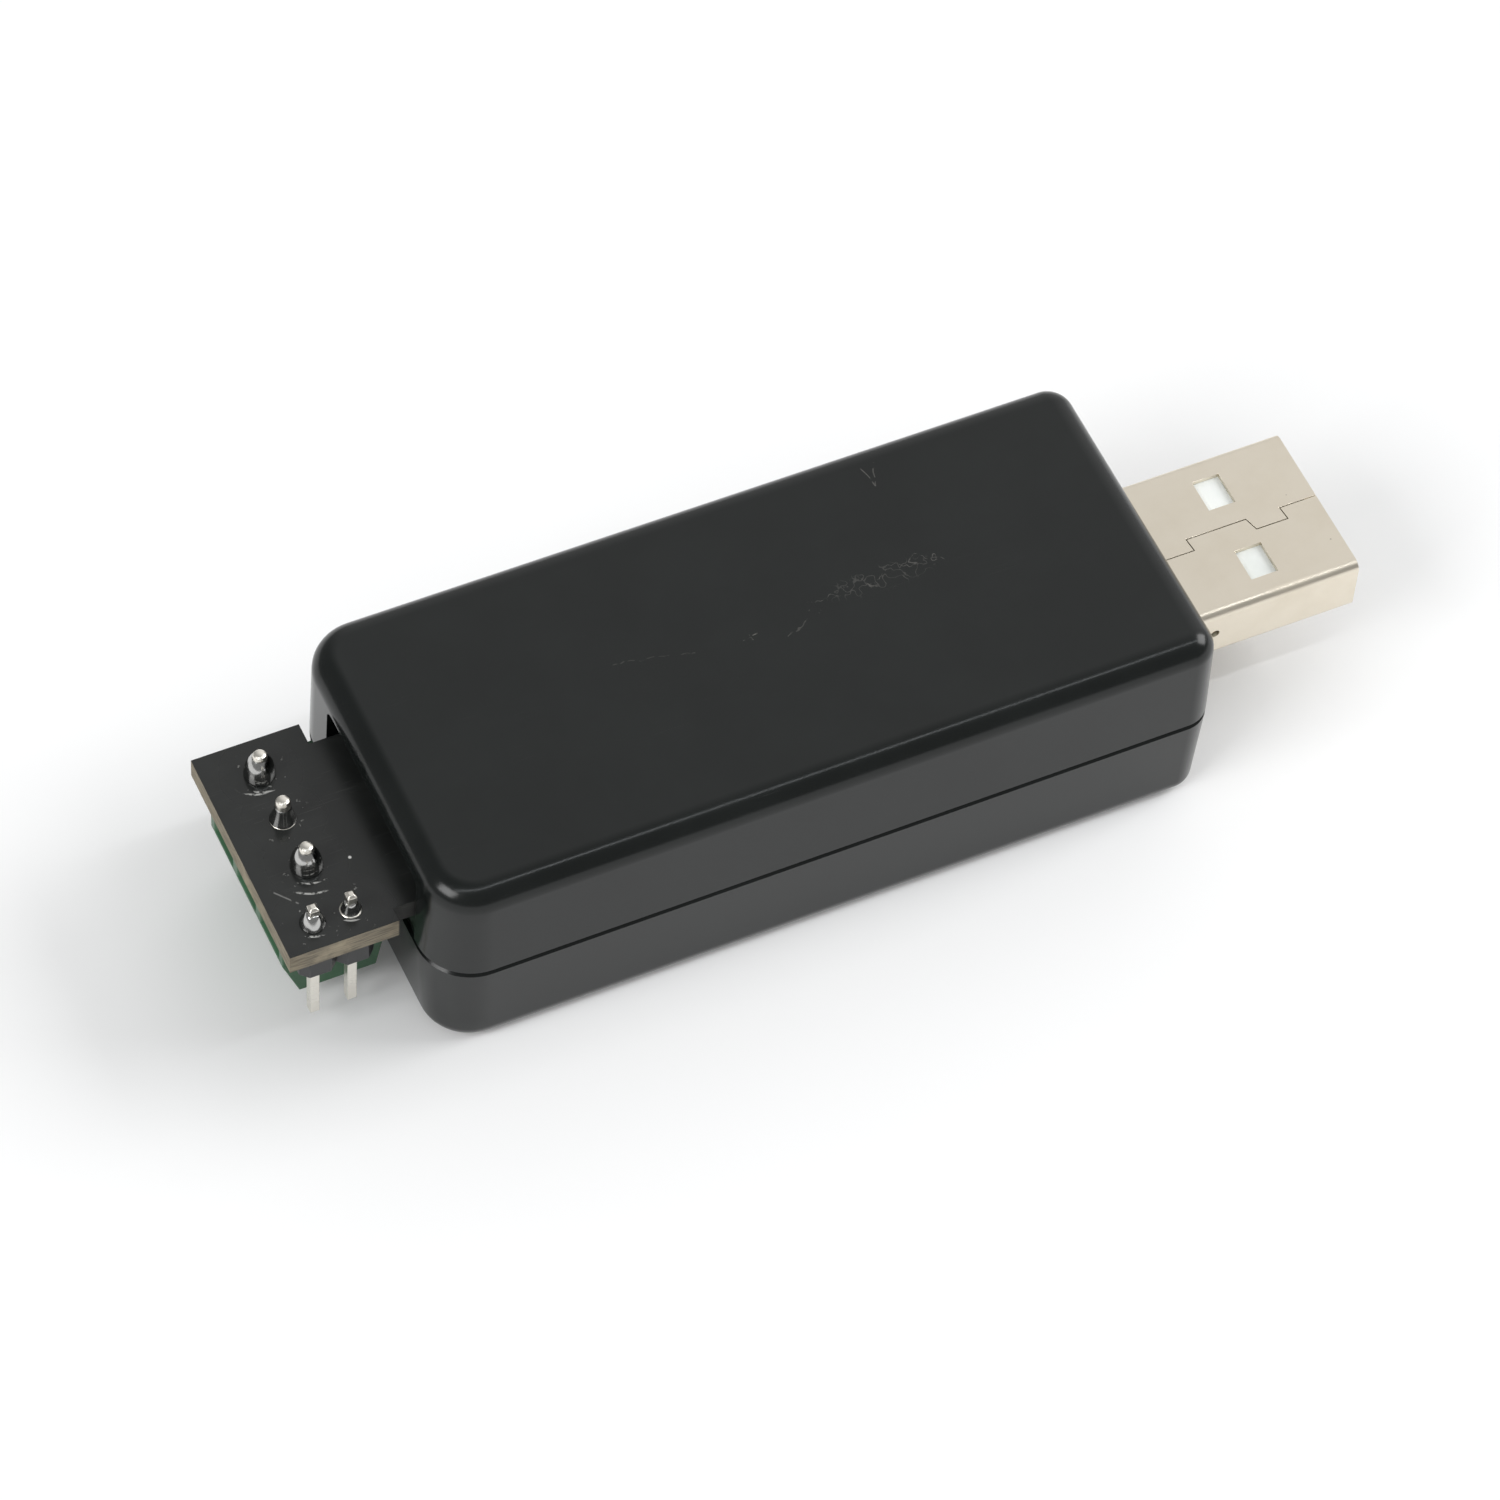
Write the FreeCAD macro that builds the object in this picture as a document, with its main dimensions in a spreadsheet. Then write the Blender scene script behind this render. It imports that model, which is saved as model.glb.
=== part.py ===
"""USB bus adapter stick: snap-fitted case, folded plug and a board tongue with a screw terminal block.

Frame: +X towards the plug, +Z up, origin at the middle of the footprint, on the surface the case lies on.
The board lies component side down, so every piece on it hangs below it. Sizes are millimetres and degrees.
"""
import FreeCAD, Part
import math
import os
import Sketcher

V = FreeCAD.Vector

DIMS = {
    # case
    "overall_length": 76.5, "case_left": -29.6, "case_length": 54.5, "case_width": 24.0, "case_height": 16.0,
    "case_wall": 1.6, "top_draft": 1.3, "bottom_draft": 2.5, "corner_terminal_end": 3.6,
    "corner_plug_end": 2.0,
    "top_edge_radius": 1.65, "bottom_edge_radius": 1.55, "parting_chamfer": 0.22,
    "lip_depth": 0.75, "lip_height": 1.3, "fit_gap": 0.08,
    "slot_far": 6.5, "slot_near": -7.9, "slot_top": 14.2, "slot_corner": 0.7, "sill_inset": 0.25,
    "post_radius": 1.8, "post_pin_radius": 0.95, "post_left": -24.0, "post_right": 14.0, "post_side": 7.2,
    "hook_width": 5.0, "hook_inner": 9.3, "hook_thick": 0.8, "hook_rise": 3.5, "hook_root": 3.0, "barb": 0.35,
    "barb_long": 1.2, "recess_height": 1.6, "recess_play": 0.3, "recess_depth_play": 0.15,
    "hook_left": -14.0, "hook_right": 5.0,
    # board
    "board_thick": 1.6, "board_width": 18.4, "board_gap": 0.05, "board_play": 0.2,
    "board_corner": 1.0,
    "tongue_length": 7.35, "tongue_far": 7.7, "tongue_near": -8.6, "neck_far": 6.05, "neck_near": -7.6,
    # plug
    "plug_width": 12.0, "plug_height": 4.5, "plug_length": 18.8, "plug_sheet": 0.3, "plug_corner": 0.65,
    "latch_front": 5.16, "latch_long": 1.95, "latch_wide": 2.5, "latch_between": 3.63,
    "seam_gap": 0.07, "relief_radius": 0.32, "relief_from_mouth": 10.4,
    "plug_leg_long": 2.0, "plug_leg_inset": 0.5,
    "insulator_recess": 0.7, "insulator_thick": 1.88, "insulator_block": 6.2, "insulator_gap": 0.02,
    "contact_wide": 1.0, "contact_thick": 0.25, "contact_tail": 0.6, "contact_outer": 3.5,
    "contact_inner": 1.0,
    "contact_first": 1.2, "contact_second": 2.2, "contact_tail_long": 0.4,
    # terminal block, heights measured down from the board's underside
    "terminal_pitch": 3.81, "terminal_axis": -33.65, "terminal_centre": 1.32, "terminal_length": 11.93,
    "terminal_outer": 3.5, "terminal_inner": 3.5, "terminal_shoulder": 5.5, "terminal_height": 8.7,
    "terminal_slope_outer": 1.15, "terminal_slope_inner": 0.6,
    "cell_width": 3.0, "cell_outer": 2.2, "cell_inner": 2.4, "cell_roof": 7.2,
    "mouth_width": 2.5, "mouth_low": 1.3, "mouth_high": 5.1, "mouth_chamfer": 0.28,
    "screw_head_radius": 1.52, "screw_head_low": 7.3, "screw_head_high": 8.4, "screw_radius": 0.98,
    "screw_point": 0.25, "screw_rim": 0.15, "screw_tip": 4.44, "screw_slot_wide": 0.5, "screw_slot_deep": 0.6,
    "screw_bore_radius": 1.6,
    "clamp_width": 2.84, "clamp_long": 2.8, "clamp_low": 1.2, "clamp_jaw": 0.5, "clamp_side": 0.36,
    "clamp_plate": 4.5, "clamp_high": 5.3, "clamp_bore_radius": 1.04,
    "bar_low": 3.9, "bar_high": 4.4, "bar_width": 1.6, "bar_reach": 1.6, "riser_near": 1.65, "riser_far": 2.1,
    "tail_offset": -0.96, "tail_radius": 0.5, "tail_above_board": 2.1, "leg_low": 0.3, "leg_high": 0.75,
    # header
    "header_pitch": 2.54, "header_first": -35.9, "header_row": -6.63, "header_chamfer": 0.55,
    "header_pin": 0.64, "header_pin_above": 1.7, "header_pin_below": 8.15, "header_pin_tip": 0.16,
}

doc = FreeCAD.newDocument("usb_bus_adapter")
sheet = doc.addObject("Spreadsheet::Sheet", "dims")
for row, (alias, value) in enumerate(DIMS.items(), start=1):
    sheet.set(f"A{row}", alias)
    sheet.set(f"B{row}", str(value))
    sheet.setAlias(f"B{row}", alias)
doc.recompute()

# places worked out from the driving sizes
CASE_RIGHT = "(dims.case_left + dims.case_length)"
PARTING = "(dims.case_height / 2)"
CEILING = "(dims.case_height - dims.case_wall)"
MOUTH = "(dims.overall_length / 2)"
PLUG_REAR = f"({MOUTH} - dims.plug_length)"
BOARD_LOW = f"({PARTING} + dims.plug_height / 2 + dims.board_gap)"
BOARD_TOP = f"({BOARD_LOW} + dims.board_thick)"
TONGUE_END = "(-dims.overall_length / 2)"
TONGUE_STEP = f"({TONGUE_END} + dims.tongue_length)"
BOARD_LEFT = "(dims.case_left + dims.case_wall + dims.board_play)"
BOARD_RIGHT = f"({CASE_RIGHT} - dims.case_wall - dims.board_play)"
POST_PLACES = [(x, y) for x in ("dims.post_left", "dims.post_right")
               for y in ("dims.post_side", "(-dims.post_side)")]
HOOK_PLACES = ("dims.hook_left", "dims.hook_right")
CONTACT_ROWS = ("(-dims.contact_outer)", "(-dims.contact_inner)", "dims.contact_inner", "dims.contact_outer")
CONTACT_TAIL_X = f"({PLUG_REAR} - 0.55)"
PLUG_LEG_X = f"({PLUG_REAR} + dims.plug_leg_inset + dims.plug_leg_long / 2)"
POLES = (-1, 0, 1)
OVERLAP = 0.4  # how far a piece starts inside the wall that it grows from

nodes = {}


def size(expression):
    """Value of an expression on the sheet, as a plain number."""
    return float(sheet.evalExpression(str(expression)))


def keep(label, item):
    """Name a finished piece; its label is also the name of its file."""
    item.Label = label
    nodes[label] = item
    return item


# ---- sketches and features -------------------------------------------------------------------------------
def new_body(label):
    return keep(label, doc.addObject("PartDesign::Body", label))


def origin_item(body, role):
    return next(item for item in body.Origin.OriginFeatures if item.Role == role)


def new_sketch(body, name, role="XY_Plane", offset="0"):
    sketch = body.newObject("Sketcher::SketchObject", name)
    sketch.AttachmentSupport = [(origin_item(body, role), "")]
    sketch.MapMode = "FlatFace"
    sketch.setExpression("AttachmentOffset.Base.z", str(offset))
    return sketch


def bind(sketch, kind, *arguments, expression):
    """Add one driving constraint and tie its value to the sheet."""
    index = sketch.addConstraint(Sketcher.Constraint(kind, *arguments, size(expression)))
    sketch.setExpression(f"Constraints[{index}]", str(expression))


def outline(sketch, corners):
    """Closed straight-sided outline; every corner is tied to the sheet in both directions."""
    points = [V(size(x), size(y), 0) for x, y in corners]
    first = sketch.GeometryCount
    count = len(points)
    for index in range(count):
        sketch.addGeometry(Part.LineSegment(points[index], points[(index + 1) % count]))
    for index, (x, y) in enumerate(corners):
        previous = first + (index - 1) % count
        sketch.addConstraint(Sketcher.Constraint("Coincident", previous, 2, first + index, 1))
        bind(sketch, "DistanceX", -1, 1, first + index, 1, expression=x)
        bind(sketch, "DistanceY", -1, 1, first + index, 1, expression=y)


def rectangle(sketch, left, right, low, high):
    outline(sketch, [(left, low), (right, low), (right, high), (left, high)])


def circle(sketch, x, y, radius):
    index = sketch.addGeometry(Part.Circle(V(size(x), size(y), 0), V(0, 0, 1), size(radius)))
    bind(sketch, "Radius", index, expression=radius)
    bind(sketch, "DistanceX", -1, 1, index, 3, expression=x)
    bind(sketch, "DistanceY", -1, 1, index, 3, expression=y)


def rounded_rectangle(sketch, left, right, low, high, left_radius, right_radius):
    """Four lines and four tangent arcs, with one radius at each end."""
    x0, x1, y0, y1 = size(left), size(right), size(low), size(high)
    radii = [left_radius, right_radius, right_radius, left_radius]
    a, b = size(left_radius), size(right_radius)
    lines = [(V(x0, y1 - a, 0), V(x0, y0 + a, 0)), (V(x0 + a, y0, 0), V(x1 - b, y0, 0)),
             (V(x1, y0 + b, 0), V(x1, y1 - b, 0)), (V(x1 - b, y1, 0), V(x0 + a, y1, 0))]
    centres = [V(x0 + a, y0 + a, 0), V(x1 - b, y0 + b, 0), V(x1 - b, y1 - b, 0), V(x0 + a, y1 - a, 0)]
    first = sketch.GeometryCount
    for start, end in lines:
        sketch.addGeometry(Part.LineSegment(start, end))
    for quarter, (centre, radius) in enumerate(zip(centres, radii)):
        arc = Part.Circle(centre, V(0, 0, 1), size(radius))
        turn = math.pi + quarter * math.pi / 2
        sketch.addGeometry(Part.ArcOfCircle(arc, turn, turn + math.pi / 2))
    for side in range(4):
        line, arc, following = first + side, first + 4 + side, first + (side + 1) % 4
        sketch.addConstraint(Sketcher.Constraint("Tangent", line, 2, arc, 1))
        sketch.addConstraint(Sketcher.Constraint("Tangent", arc, 2, following, 1))
        sketch.addConstraint(Sketcher.Constraint("Horizontal" if side % 2 else "Vertical", line))
        bind(sketch, "Radius", arc, expression=radii[side])
    bind(sketch, "DistanceX", -1, 1, first, 1, expression=left)
    bind(sketch, "DistanceX", -1, 1, first + 2, 1, expression=right)
    bind(sketch, "DistanceY", -1, 1, first + 1, 1, expression=low)
    bind(sketch, "DistanceY", -1, 1, first + 3, 1, expression=high)


def pad(body, sketch, length, taper=None, reverse=False, midplane=False):
    """Raise a sketch into a solid, and check that the body grew."""
    before = body.Shape.Volume if body.Tip else 0.0
    feature = body.newObject("PartDesign::Pad", f"{sketch.Name}_pad")
    feature.Profile = sketch
    feature.setExpression("Length", str(length))
    feature.Reversed = reverse
    feature.Midplane = midplane
    if taper:
        feature.setExpression("TaperAngle", taper)
    doc.recompute()
    if body.Shape.Volume <= before:
        raise RuntimeError(f"{feature.Name} added nothing")
    return feature


def pocket(body, sketch, length, taper=None, reverse=False, midplane=False):
    """Cut a sketch into the body, and check that the body lost material."""
    before = body.Shape.Volume
    feature = body.newObject("PartDesign::Pocket", f"{sketch.Name}_pocket")
    feature.Profile = sketch
    feature.setExpression("Length", str(length))
    feature.Reversed = reverse
    feature.Midplane = midplane
    if taper:
        feature.setExpression("TaperAngle", taper)
    doc.recompute()
    if body.Shape.Volume >= before - 1e-6:
        raise RuntimeError(f"{feature.Name} cut nothing")
    return feature


def revolve(body, sketch):
    """Turn a sketch in the XZ plane a full turn about the body's Z axis."""
    feature = body.newObject("PartDesign::Revolution", f"{sketch.Name}_revolution")
    feature.Profile = sketch
    feature.ReferenceAxis = (origin_item(body, "Z_Axis"), [""])
    feature.Angle = 360
    doc.recompute()
    return feature


def dress_edges(body, kind, name, size_name, value, wanted):
    """Round or bevel the edges whose boxes, in the body's own frame, are the wanted ones."""
    base = body.Tip
    feature = body.newObject(f"PartDesign::{kind}", name)
    feature.Base = (base, [f"Edge{index + 1}" for index, edge in enumerate(base.Shape.Edges)
                           if wanted(edge.BoundBox)])
    feature.setExpression(size_name, value)
    doc.recompute()
    return feature


def fillet(body, name, radius, wanted):
    return dress_edges(body, "Fillet", name, "Radius", radius, wanted)


def chamfer(body, name, width, wanted):
    return dress_edges(body, "Chamfer", name, "Size", width, wanted)


def repeat(body, features, role, length, count):
    """Repeat features in a row along one of the body's axes."""
    pattern = body.newObject("PartDesign::LinearPattern", f"{body.Name}_row")
    pattern.Originals = features
    pattern.Direction = (origin_item(body, role), [""])
    pattern.setExpression("Length", str(length))
    pattern.Occurrences = count
    body.Tip = pattern
    doc.recompute()
    return pattern


def place(item, x, y, z, hang=False):
    """Put a piece at a place tied to the sheet; a hanging piece is turned over, its own +Z pointing down."""
    if hang:
        item.Placement = FreeCAD.Placement(V(), FreeCAD.Rotation(V(1, 0, 0), 180))
    for axis, expression in zip("xyz", (x, y, z)):
        item.setExpression(f".Placement.Base.{axis}", str(expression))


# ---- primitives ------------------------------------------------------------------------------------------
def box(name, left, right, near, far, low, high):
    item = doc.addObject("Part::Box", name)
    item.setExpression("Length", f"({right}) - ({left})")
    item.setExpression("Width", f"({far}) - ({near})")
    item.setExpression("Height", f"({high}) - ({low})")
    place(item, left, near, low)
    return item


def block(name, x, y, low, high, long, wide):
    """Box given by its middle, its two side lengths and its two heights."""
    return box(name, f"({x}) - ({long}) / 2", f"({x}) + ({long}) / 2", f"({y}) - ({wide}) / 2",
               f"({y}) + ({wide}) / 2", low, high)


def group(label, members):
    compound = doc.addObject("Part::Compound", label)
    compound.Links = members
    return keep(label, compound)


# ---- case ------------------------------------------------------------------------------------------------
def case_outline(sketch, inset):
    inset = f"({inset})"
    rounded_rectangle(sketch, f"dims.case_left + {inset}", f"{CASE_RIGHT} - {inset}",
                      f"-dims.case_width / 2 + {inset}", f"dims.case_width / 2 - {inset}",
                      f"dims.corner_terminal_end - {inset}", f"max(dims.corner_plug_end - {inset}; 0.4)")


def case_half(label, upwards):
    """Drafted, hollow half of the case, open at the parting plane, with its plug opening."""
    body = new_body(label)
    outer = new_sketch(body, f"{label}_outer", offset=PARTING)
    case_outline(outer, "0")
    draft = "-dims.top_draft" if upwards else "-dims.bottom_draft"
    pad(body, outer, PARTING, taper=draft, reverse=not upwards)
    end = size("dims.case_height") if upwards else 0.0
    radius = "dims.top_edge_radius" if upwards else "dims.bottom_edge_radius"
    fillet(body, f"{label}_edge", radius, lambda b: abs(b.ZMin - end) < 1e-4 and abs(b.ZMax - end) < 1e-4)
    middle = size(PARTING)
    chamfer(body, f"{label}_groove", "dims.parting_chamfer",
            lambda b: abs(b.ZMin - middle) < 1e-4 and abs(b.ZMax - middle) < 1e-4)
    inner = new_sketch(body, f"{label}_inner", offset=PARTING)
    case_outline(inner, "dims.case_wall")
    pocket(body, inner, f"{PARTING} - dims.case_wall", taper=draft, reverse=upwards)
    return body


def plug_opening(body):
    opening = new_sketch(body, f"{body.Name}_plug_opening", "YZ_Plane", f"{CASE_RIGHT} + 1")
    gap = "dims.fit_gap"
    rounded_rectangle(opening, f"-dims.plug_width / 2 - {gap}", f"dims.plug_width / 2 + {gap}",
                      f"{PARTING} - dims.plug_height / 2 - {gap}", f"{PARTING} + dims.plug_height / 2 + {gap}",
                      f"dims.plug_corner + {gap}", f"dims.plug_corner + {gap}")
    pocket(body, opening, "dims.case_wall + 2")


def make_top_shell():
    body = case_half("top_shell", upwards=True)
    rebate = new_sketch(body, "lip_rebate", offset=PARTING)
    case_outline(rebate, "dims.case_wall - dims.lip_depth - dims.fit_gap")
    pocket(body, rebate, "dims.lip_height + dims.fit_gap", reverse=True)
    slot = new_sketch(body, "board_slot", "YZ_Plane", "dims.case_left - 1")
    rounded_rectangle(slot, "dims.slot_near", "dims.slot_far", f"{PARTING} - 2", "dims.slot_top",
                      "dims.slot_corner", "dims.slot_corner")
    pocket(body, slot, "dims.case_wall + 2", reverse=True)
    plug_opening(body)
    posts = new_sketch(body, "hold_down_posts", offset=f"{BOARD_TOP} + dims.board_gap")
    for x, y in POST_PLACES:
        circle(posts, x, y, "dims.post_radius")
    pad(body, posts, f"{CEILING} + {OVERLAP} - {BOARD_TOP} - dims.board_gap")
    recess_floor = "dims.hook_inner + dims.hook_thick + dims.barb + dims.recess_depth_play"
    recess_low = f"{PARTING} + dims.hook_rise - dims.barb_long - 0.2"
    recesses = new_sketch(body, "hook_recesses", offset=recess_low)
    for x in HOOK_PLACES:
        for side in ("", "-"):
            inner, outer = f"{side}(dims.hook_inner)", f"{side}({recess_floor})"
            low, high = (inner, outer) if not side else (outer, inner)
            rectangle(recesses, f"{x} - dims.hook_width / 2 - dims.recess_play",
                      f"{x} + dims.hook_width / 2 + dims.recess_play", low, high)
    pocket(body, recesses, "dims.recess_height", reverse=True)


def make_bottom_shell():
    body = case_half("bottom_shell", upwards=False)
    lip = new_sketch(body, "lip", offset=f"{PARTING} - {OVERLAP}")
    case_outline(lip, "dims.case_wall - dims.lip_depth")
    case_outline(lip, "dims.case_wall")
    pad(body, lip, f"dims.lip_height + {OVERLAP}")
    sill = new_sketch(body, "slot_sill", offset=f"{PARTING} - {OVERLAP}")
    rectangle(sill, "dims.case_left + dims.sill_inset", "dims.case_left + dims.case_wall",
              "dims.slot_near + dims.fit_gap", "dims.slot_far - dims.fit_gap")
    pad(body, sill, f"{BOARD_LOW} - dims.board_gap - {PARTING} + {OVERLAP}")
    plug_opening(body)
    posts = new_sketch(body, "standoffs", offset=f"dims.case_wall - {OVERLAP}")
    pins = new_sketch(body, "locating_pins", offset=f"{BOARD_LOW} - 0.5")
    for x, y in POST_PLACES:
        circle(posts, x, y, "dims.post_radius")
        circle(pins, x, y, "dims.post_pin_radius")
    pad(body, posts, f"{BOARD_LOW} - dims.board_gap - dims.case_wall + {OVERLAP}")
    pad(body, pins, "dims.board_thick + 0.3")
    hook_outer = "(dims.hook_inner + dims.hook_thick)"
    roots = new_sketch(body, "hook_roots", offset=f"{PARTING} - dims.hook_root")
    hooks = new_sketch(body, "hooks", offset=f"{PARTING} - dims.hook_root")
    for x in HOOK_PLACES:
        left, right = f"{x} - dims.hook_width / 2", f"{x} + dims.hook_width / 2"
        rectangle(roots, left, right, "dims.hook_inner", "dims.case_width / 2 - dims.case_wall / 2")
        rectangle(roots, left, right, "-dims.case_width / 2 + dims.case_wall / 2", "-dims.hook_inner")
        rectangle(hooks, left, right, "dims.hook_inner", hook_outer)
        rectangle(hooks, left, right, f"-{hook_outer}", "-dims.hook_inner")
    pad(body, roots, "dims.hook_root - 0.3")
    pad(body, hooks, "dims.hook_root + dims.hook_rise")
    low, high = f"{PARTING} + dims.hook_rise - dims.barb_long", f"{PARTING} + dims.hook_rise"
    for number, x in enumerate(HOOK_PLACES):
        barbs = new_sketch(body, f"barbs_{number}", "YZ_Plane", x)
        for side in ("", "-"):
            outline(barbs, [(f"{side}({hook_outer} - 0.2)", low), (f"{side}({hook_outer} + dims.barb)", low),
                            (f"{side}{hook_outer}", high), (f"{side}({hook_outer} - 0.2)", high)])
        pad(body, barbs, "dims.hook_width", midplane=True)


# ---- board -----------------------------------------------------------------------------------------------
def make_circuit_board():
    body = new_body("circuit_board")
    edge = new_sketch(body, "board_edge", offset=BOARD_LOW)
    half, cut = "dims.board_width / 2", "dims.board_corner"
    outline(edge, [(TONGUE_END, "dims.tongue_near"), (TONGUE_STEP, "dims.tongue_near"),
                   (TONGUE_STEP, "dims.neck_near"), (BOARD_LEFT, "dims.neck_near"),
                   (BOARD_LEFT, f"-{half} + {cut}"),
                   (f"{BOARD_LEFT} + {cut}", f"-{half}"), (BOARD_RIGHT, f"-{half}"), (BOARD_RIGHT, half),
                   (f"{BOARD_LEFT} + {cut}", half), (BOARD_LEFT, f"{half} - {cut}"),
                   (BOARD_LEFT, "dims.neck_far"), (TONGUE_STEP, "dims.neck_far"),
                   (TONGUE_STEP, "dims.tongue_far"), (TONGUE_END, "dims.tongue_far")])
    pad(body, edge, "dims.board_thick")
    holes = new_sketch(body, "board_holes", offset=BOARD_TOP)
    for pole in POLES:
        circle(holes, "dims.terminal_axis + dims.tail_offset",
               f"dims.terminal_centre + dims.terminal_pitch * {pole}", "dims.tail_radius + 0.1")
    for pin in (0, 1):
        circle(holes, f"dims.header_first + dims.header_pitch * {pin}", "dims.header_row",
               "dims.header_pin * 0.8")
    for x, y in POST_PLACES:
        circle(holes, x, y, "dims.post_pin_radius + 0.1")
    for y in CONTACT_ROWS:
        circle(holes, CONTACT_TAIL_X, y, "dims.contact_tail * 0.75")
    for side in ("", "-"):
        low = f"{side}(dims.plug_width / 2 + 0.15)"
        high = f"{side}(dims.plug_width / 2 - dims.plug_sheet - 0.15)"
        low, high = (high, low) if not side else (low, high)
        rectangle(holes, f"{PLUG_LEG_X} - dims.plug_leg_long / 2 - 0.15",
                  f"{PLUG_LEG_X} + dims.plug_leg_long / 2 + 0.15", low, high)
    pocket(body, holes, "dims.board_thick")


# ---- plug ------------------------------------------------------------------------------------------------
# the dovetail seam: distance back from the mouth, and place across the plug
SEAM_PATH = [(-0.5, 0.25), (2.7, 0.25), (2.6, -0.75), (4.9, -0.75), (5.2, 0.25), (9.6, 0.25), (9.5, -0.75),
             (19.5, -0.75)]


def beside(path, distance):
    """The same path moved sideways by a distance, with its corners mitred."""
    normals = []
    for (x0, y0), (x1, y1) in zip(path, path[1:]):
        run = math.hypot(x1 - x0, y1 - y0)
        normals.append(((y0 - y1) / run, (x1 - x0) / run))
    moved = []
    for index, (x, y) in enumerate(path):
        before, after = normals[max(index - 1, 0)], normals[min(index, len(normals) - 1)]
        stretch = distance / (1 + before[0] * after[0] + before[1] * after[1])
        moved.append((x + (before[0] + after[0]) * stretch, y + (before[1] + after[1]) * stretch))
    return moved


def make_plug_shell():
    """Sheet folded into a box: its seam runs down the middle of the upper face as a dovetail."""
    body = new_body("usb_plug_shell")
    sheet_inset = "dims.plug_sheet"
    outer = new_sketch(body, "plug_outside", "YZ_Plane", PLUG_REAR)
    rounded_rectangle(outer, "-dims.plug_width / 2", "dims.plug_width / 2", f"{PARTING} - dims.plug_height / 2",
                      f"{PARTING} + dims.plug_height / 2", "dims.plug_corner", "dims.plug_corner")
    pad(body, outer, "dims.plug_length")
    inner = new_sketch(body, "plug_inside", "YZ_Plane", f"{MOUTH} + 1")
    rounded_rectangle(inner, f"-dims.plug_width / 2 + {sheet_inset}", f"dims.plug_width / 2 - {sheet_inset}",
                      f"{PARTING} - dims.plug_height / 2 + {sheet_inset}",
                      f"{PARTING} + dims.plug_height / 2 - {sheet_inset}",
                      f"dims.plug_corner - {sheet_inset}", f"dims.plug_corner - {sheet_inset}")
    pocket(body, inner, "dims.plug_length + 2")
    latches = new_sketch(body, "latch_holes", offset=PARTING)
    right = f"{MOUTH} - dims.latch_front"
    left = f"{right} - dims.latch_long"
    reach = "(dims.latch_between / 2 + dims.latch_wide)"
    rectangle(latches, left, right, "dims.latch_between / 2", reach)
    rectangle(latches, left, right, f"-{reach}", "-dims.latch_between / 2")
    pocket(body, latches, "dims.plug_height + 1", midplane=True)
    reliefs = new_sketch(body, "relief_holes", "XZ_Plane")
    circle(reliefs, f"{MOUTH} - dims.relief_from_mouth", f"{PARTING} + 0.1", "dims.relief_radius")
    pocket(body, reliefs, "dims.plug_width + 1", midplane=True)
    seam = new_sketch(body, "seam", offset=f"{PARTING} + dims.plug_height / 2 + 0.5")
    far, near = (beside(SEAM_PATH, side * size("dims.seam_gap") / 2) for side in (1, -1))
    outline(seam, [(f"{MOUTH} - {run:.4f}", f"{y:.4f}") for run, y in far + near[::-1]])
    pocket(body, seam, "0.5 + dims.plug_sheet + 0.1")
    legs = new_sketch(body, "plug_legs", offset=f"{PARTING} + dims.plug_height / 4")
    for side in ("", "-"):
        low, high = f"{side}(dims.plug_width / 2 - {sheet_inset})", f"{side}(dims.plug_width / 2)"
        low, high = (low, high) if not side else (high, low)
        rectangle(legs, f"{PLUG_LEG_X} - dims.plug_leg_long / 2", f"{PLUG_LEG_X} + dims.plug_leg_long / 2",
                  low, high)
    pad(body, legs, f"{BOARD_TOP} + 0.5 - {PARTING} - dims.plug_height / 4")


def make_plug_insulator():
    body = new_body("usb_plug_insulator")
    gap = "dims.insulator_gap"
    top = f"{PARTING} + dims.plug_height / 2 - dims.plug_sheet - {gap}"
    low = f"{PARTING} - dims.plug_height / 2 + dims.plug_sheet + {gap}"
    side = new_sketch(body, "insulator_side", "XZ_Plane")
    block_front = f"{PLUG_REAR} + dims.insulator_block"
    front = f"{MOUTH} - dims.insulator_recess"
    tongue_low = f"{top} - dims.insulator_thick"
    outline(side, [(PLUG_REAR, low), (block_front, low), (block_front, tongue_low), (front, tongue_low),
                   (front, top), (PLUG_REAR, top)])
    pad(body, side, f"dims.plug_width - 2 * (dims.plug_sheet + {gap}) - 0.02", midplane=True)
    fillet(body, "insulator_corners", "dims.plug_corner - dims.plug_sheet",
           lambda b: b.XLength > 4 and b.YLength < 1e-4 and b.ZLength < 1e-4
           and (abs(b.ZMin - size(top)) < 1e-4 or abs(b.ZMin - size(low)) < 1e-4))
    channels = new_sketch(body, "contact_channels", "YZ_Plane", f"{MOUTH} + 1")
    for y in CONTACT_ROWS:
        rectangle(channels, f"{y} - dims.contact_wide / 2 - {gap}", f"{y} + dims.contact_wide / 2 + {gap}",
                  f"{tongue_low} - 0.02", f"{tongue_low} + dims.contact_thick + {gap}")
    pocket(body, channels, "dims.plug_length + 2")


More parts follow.
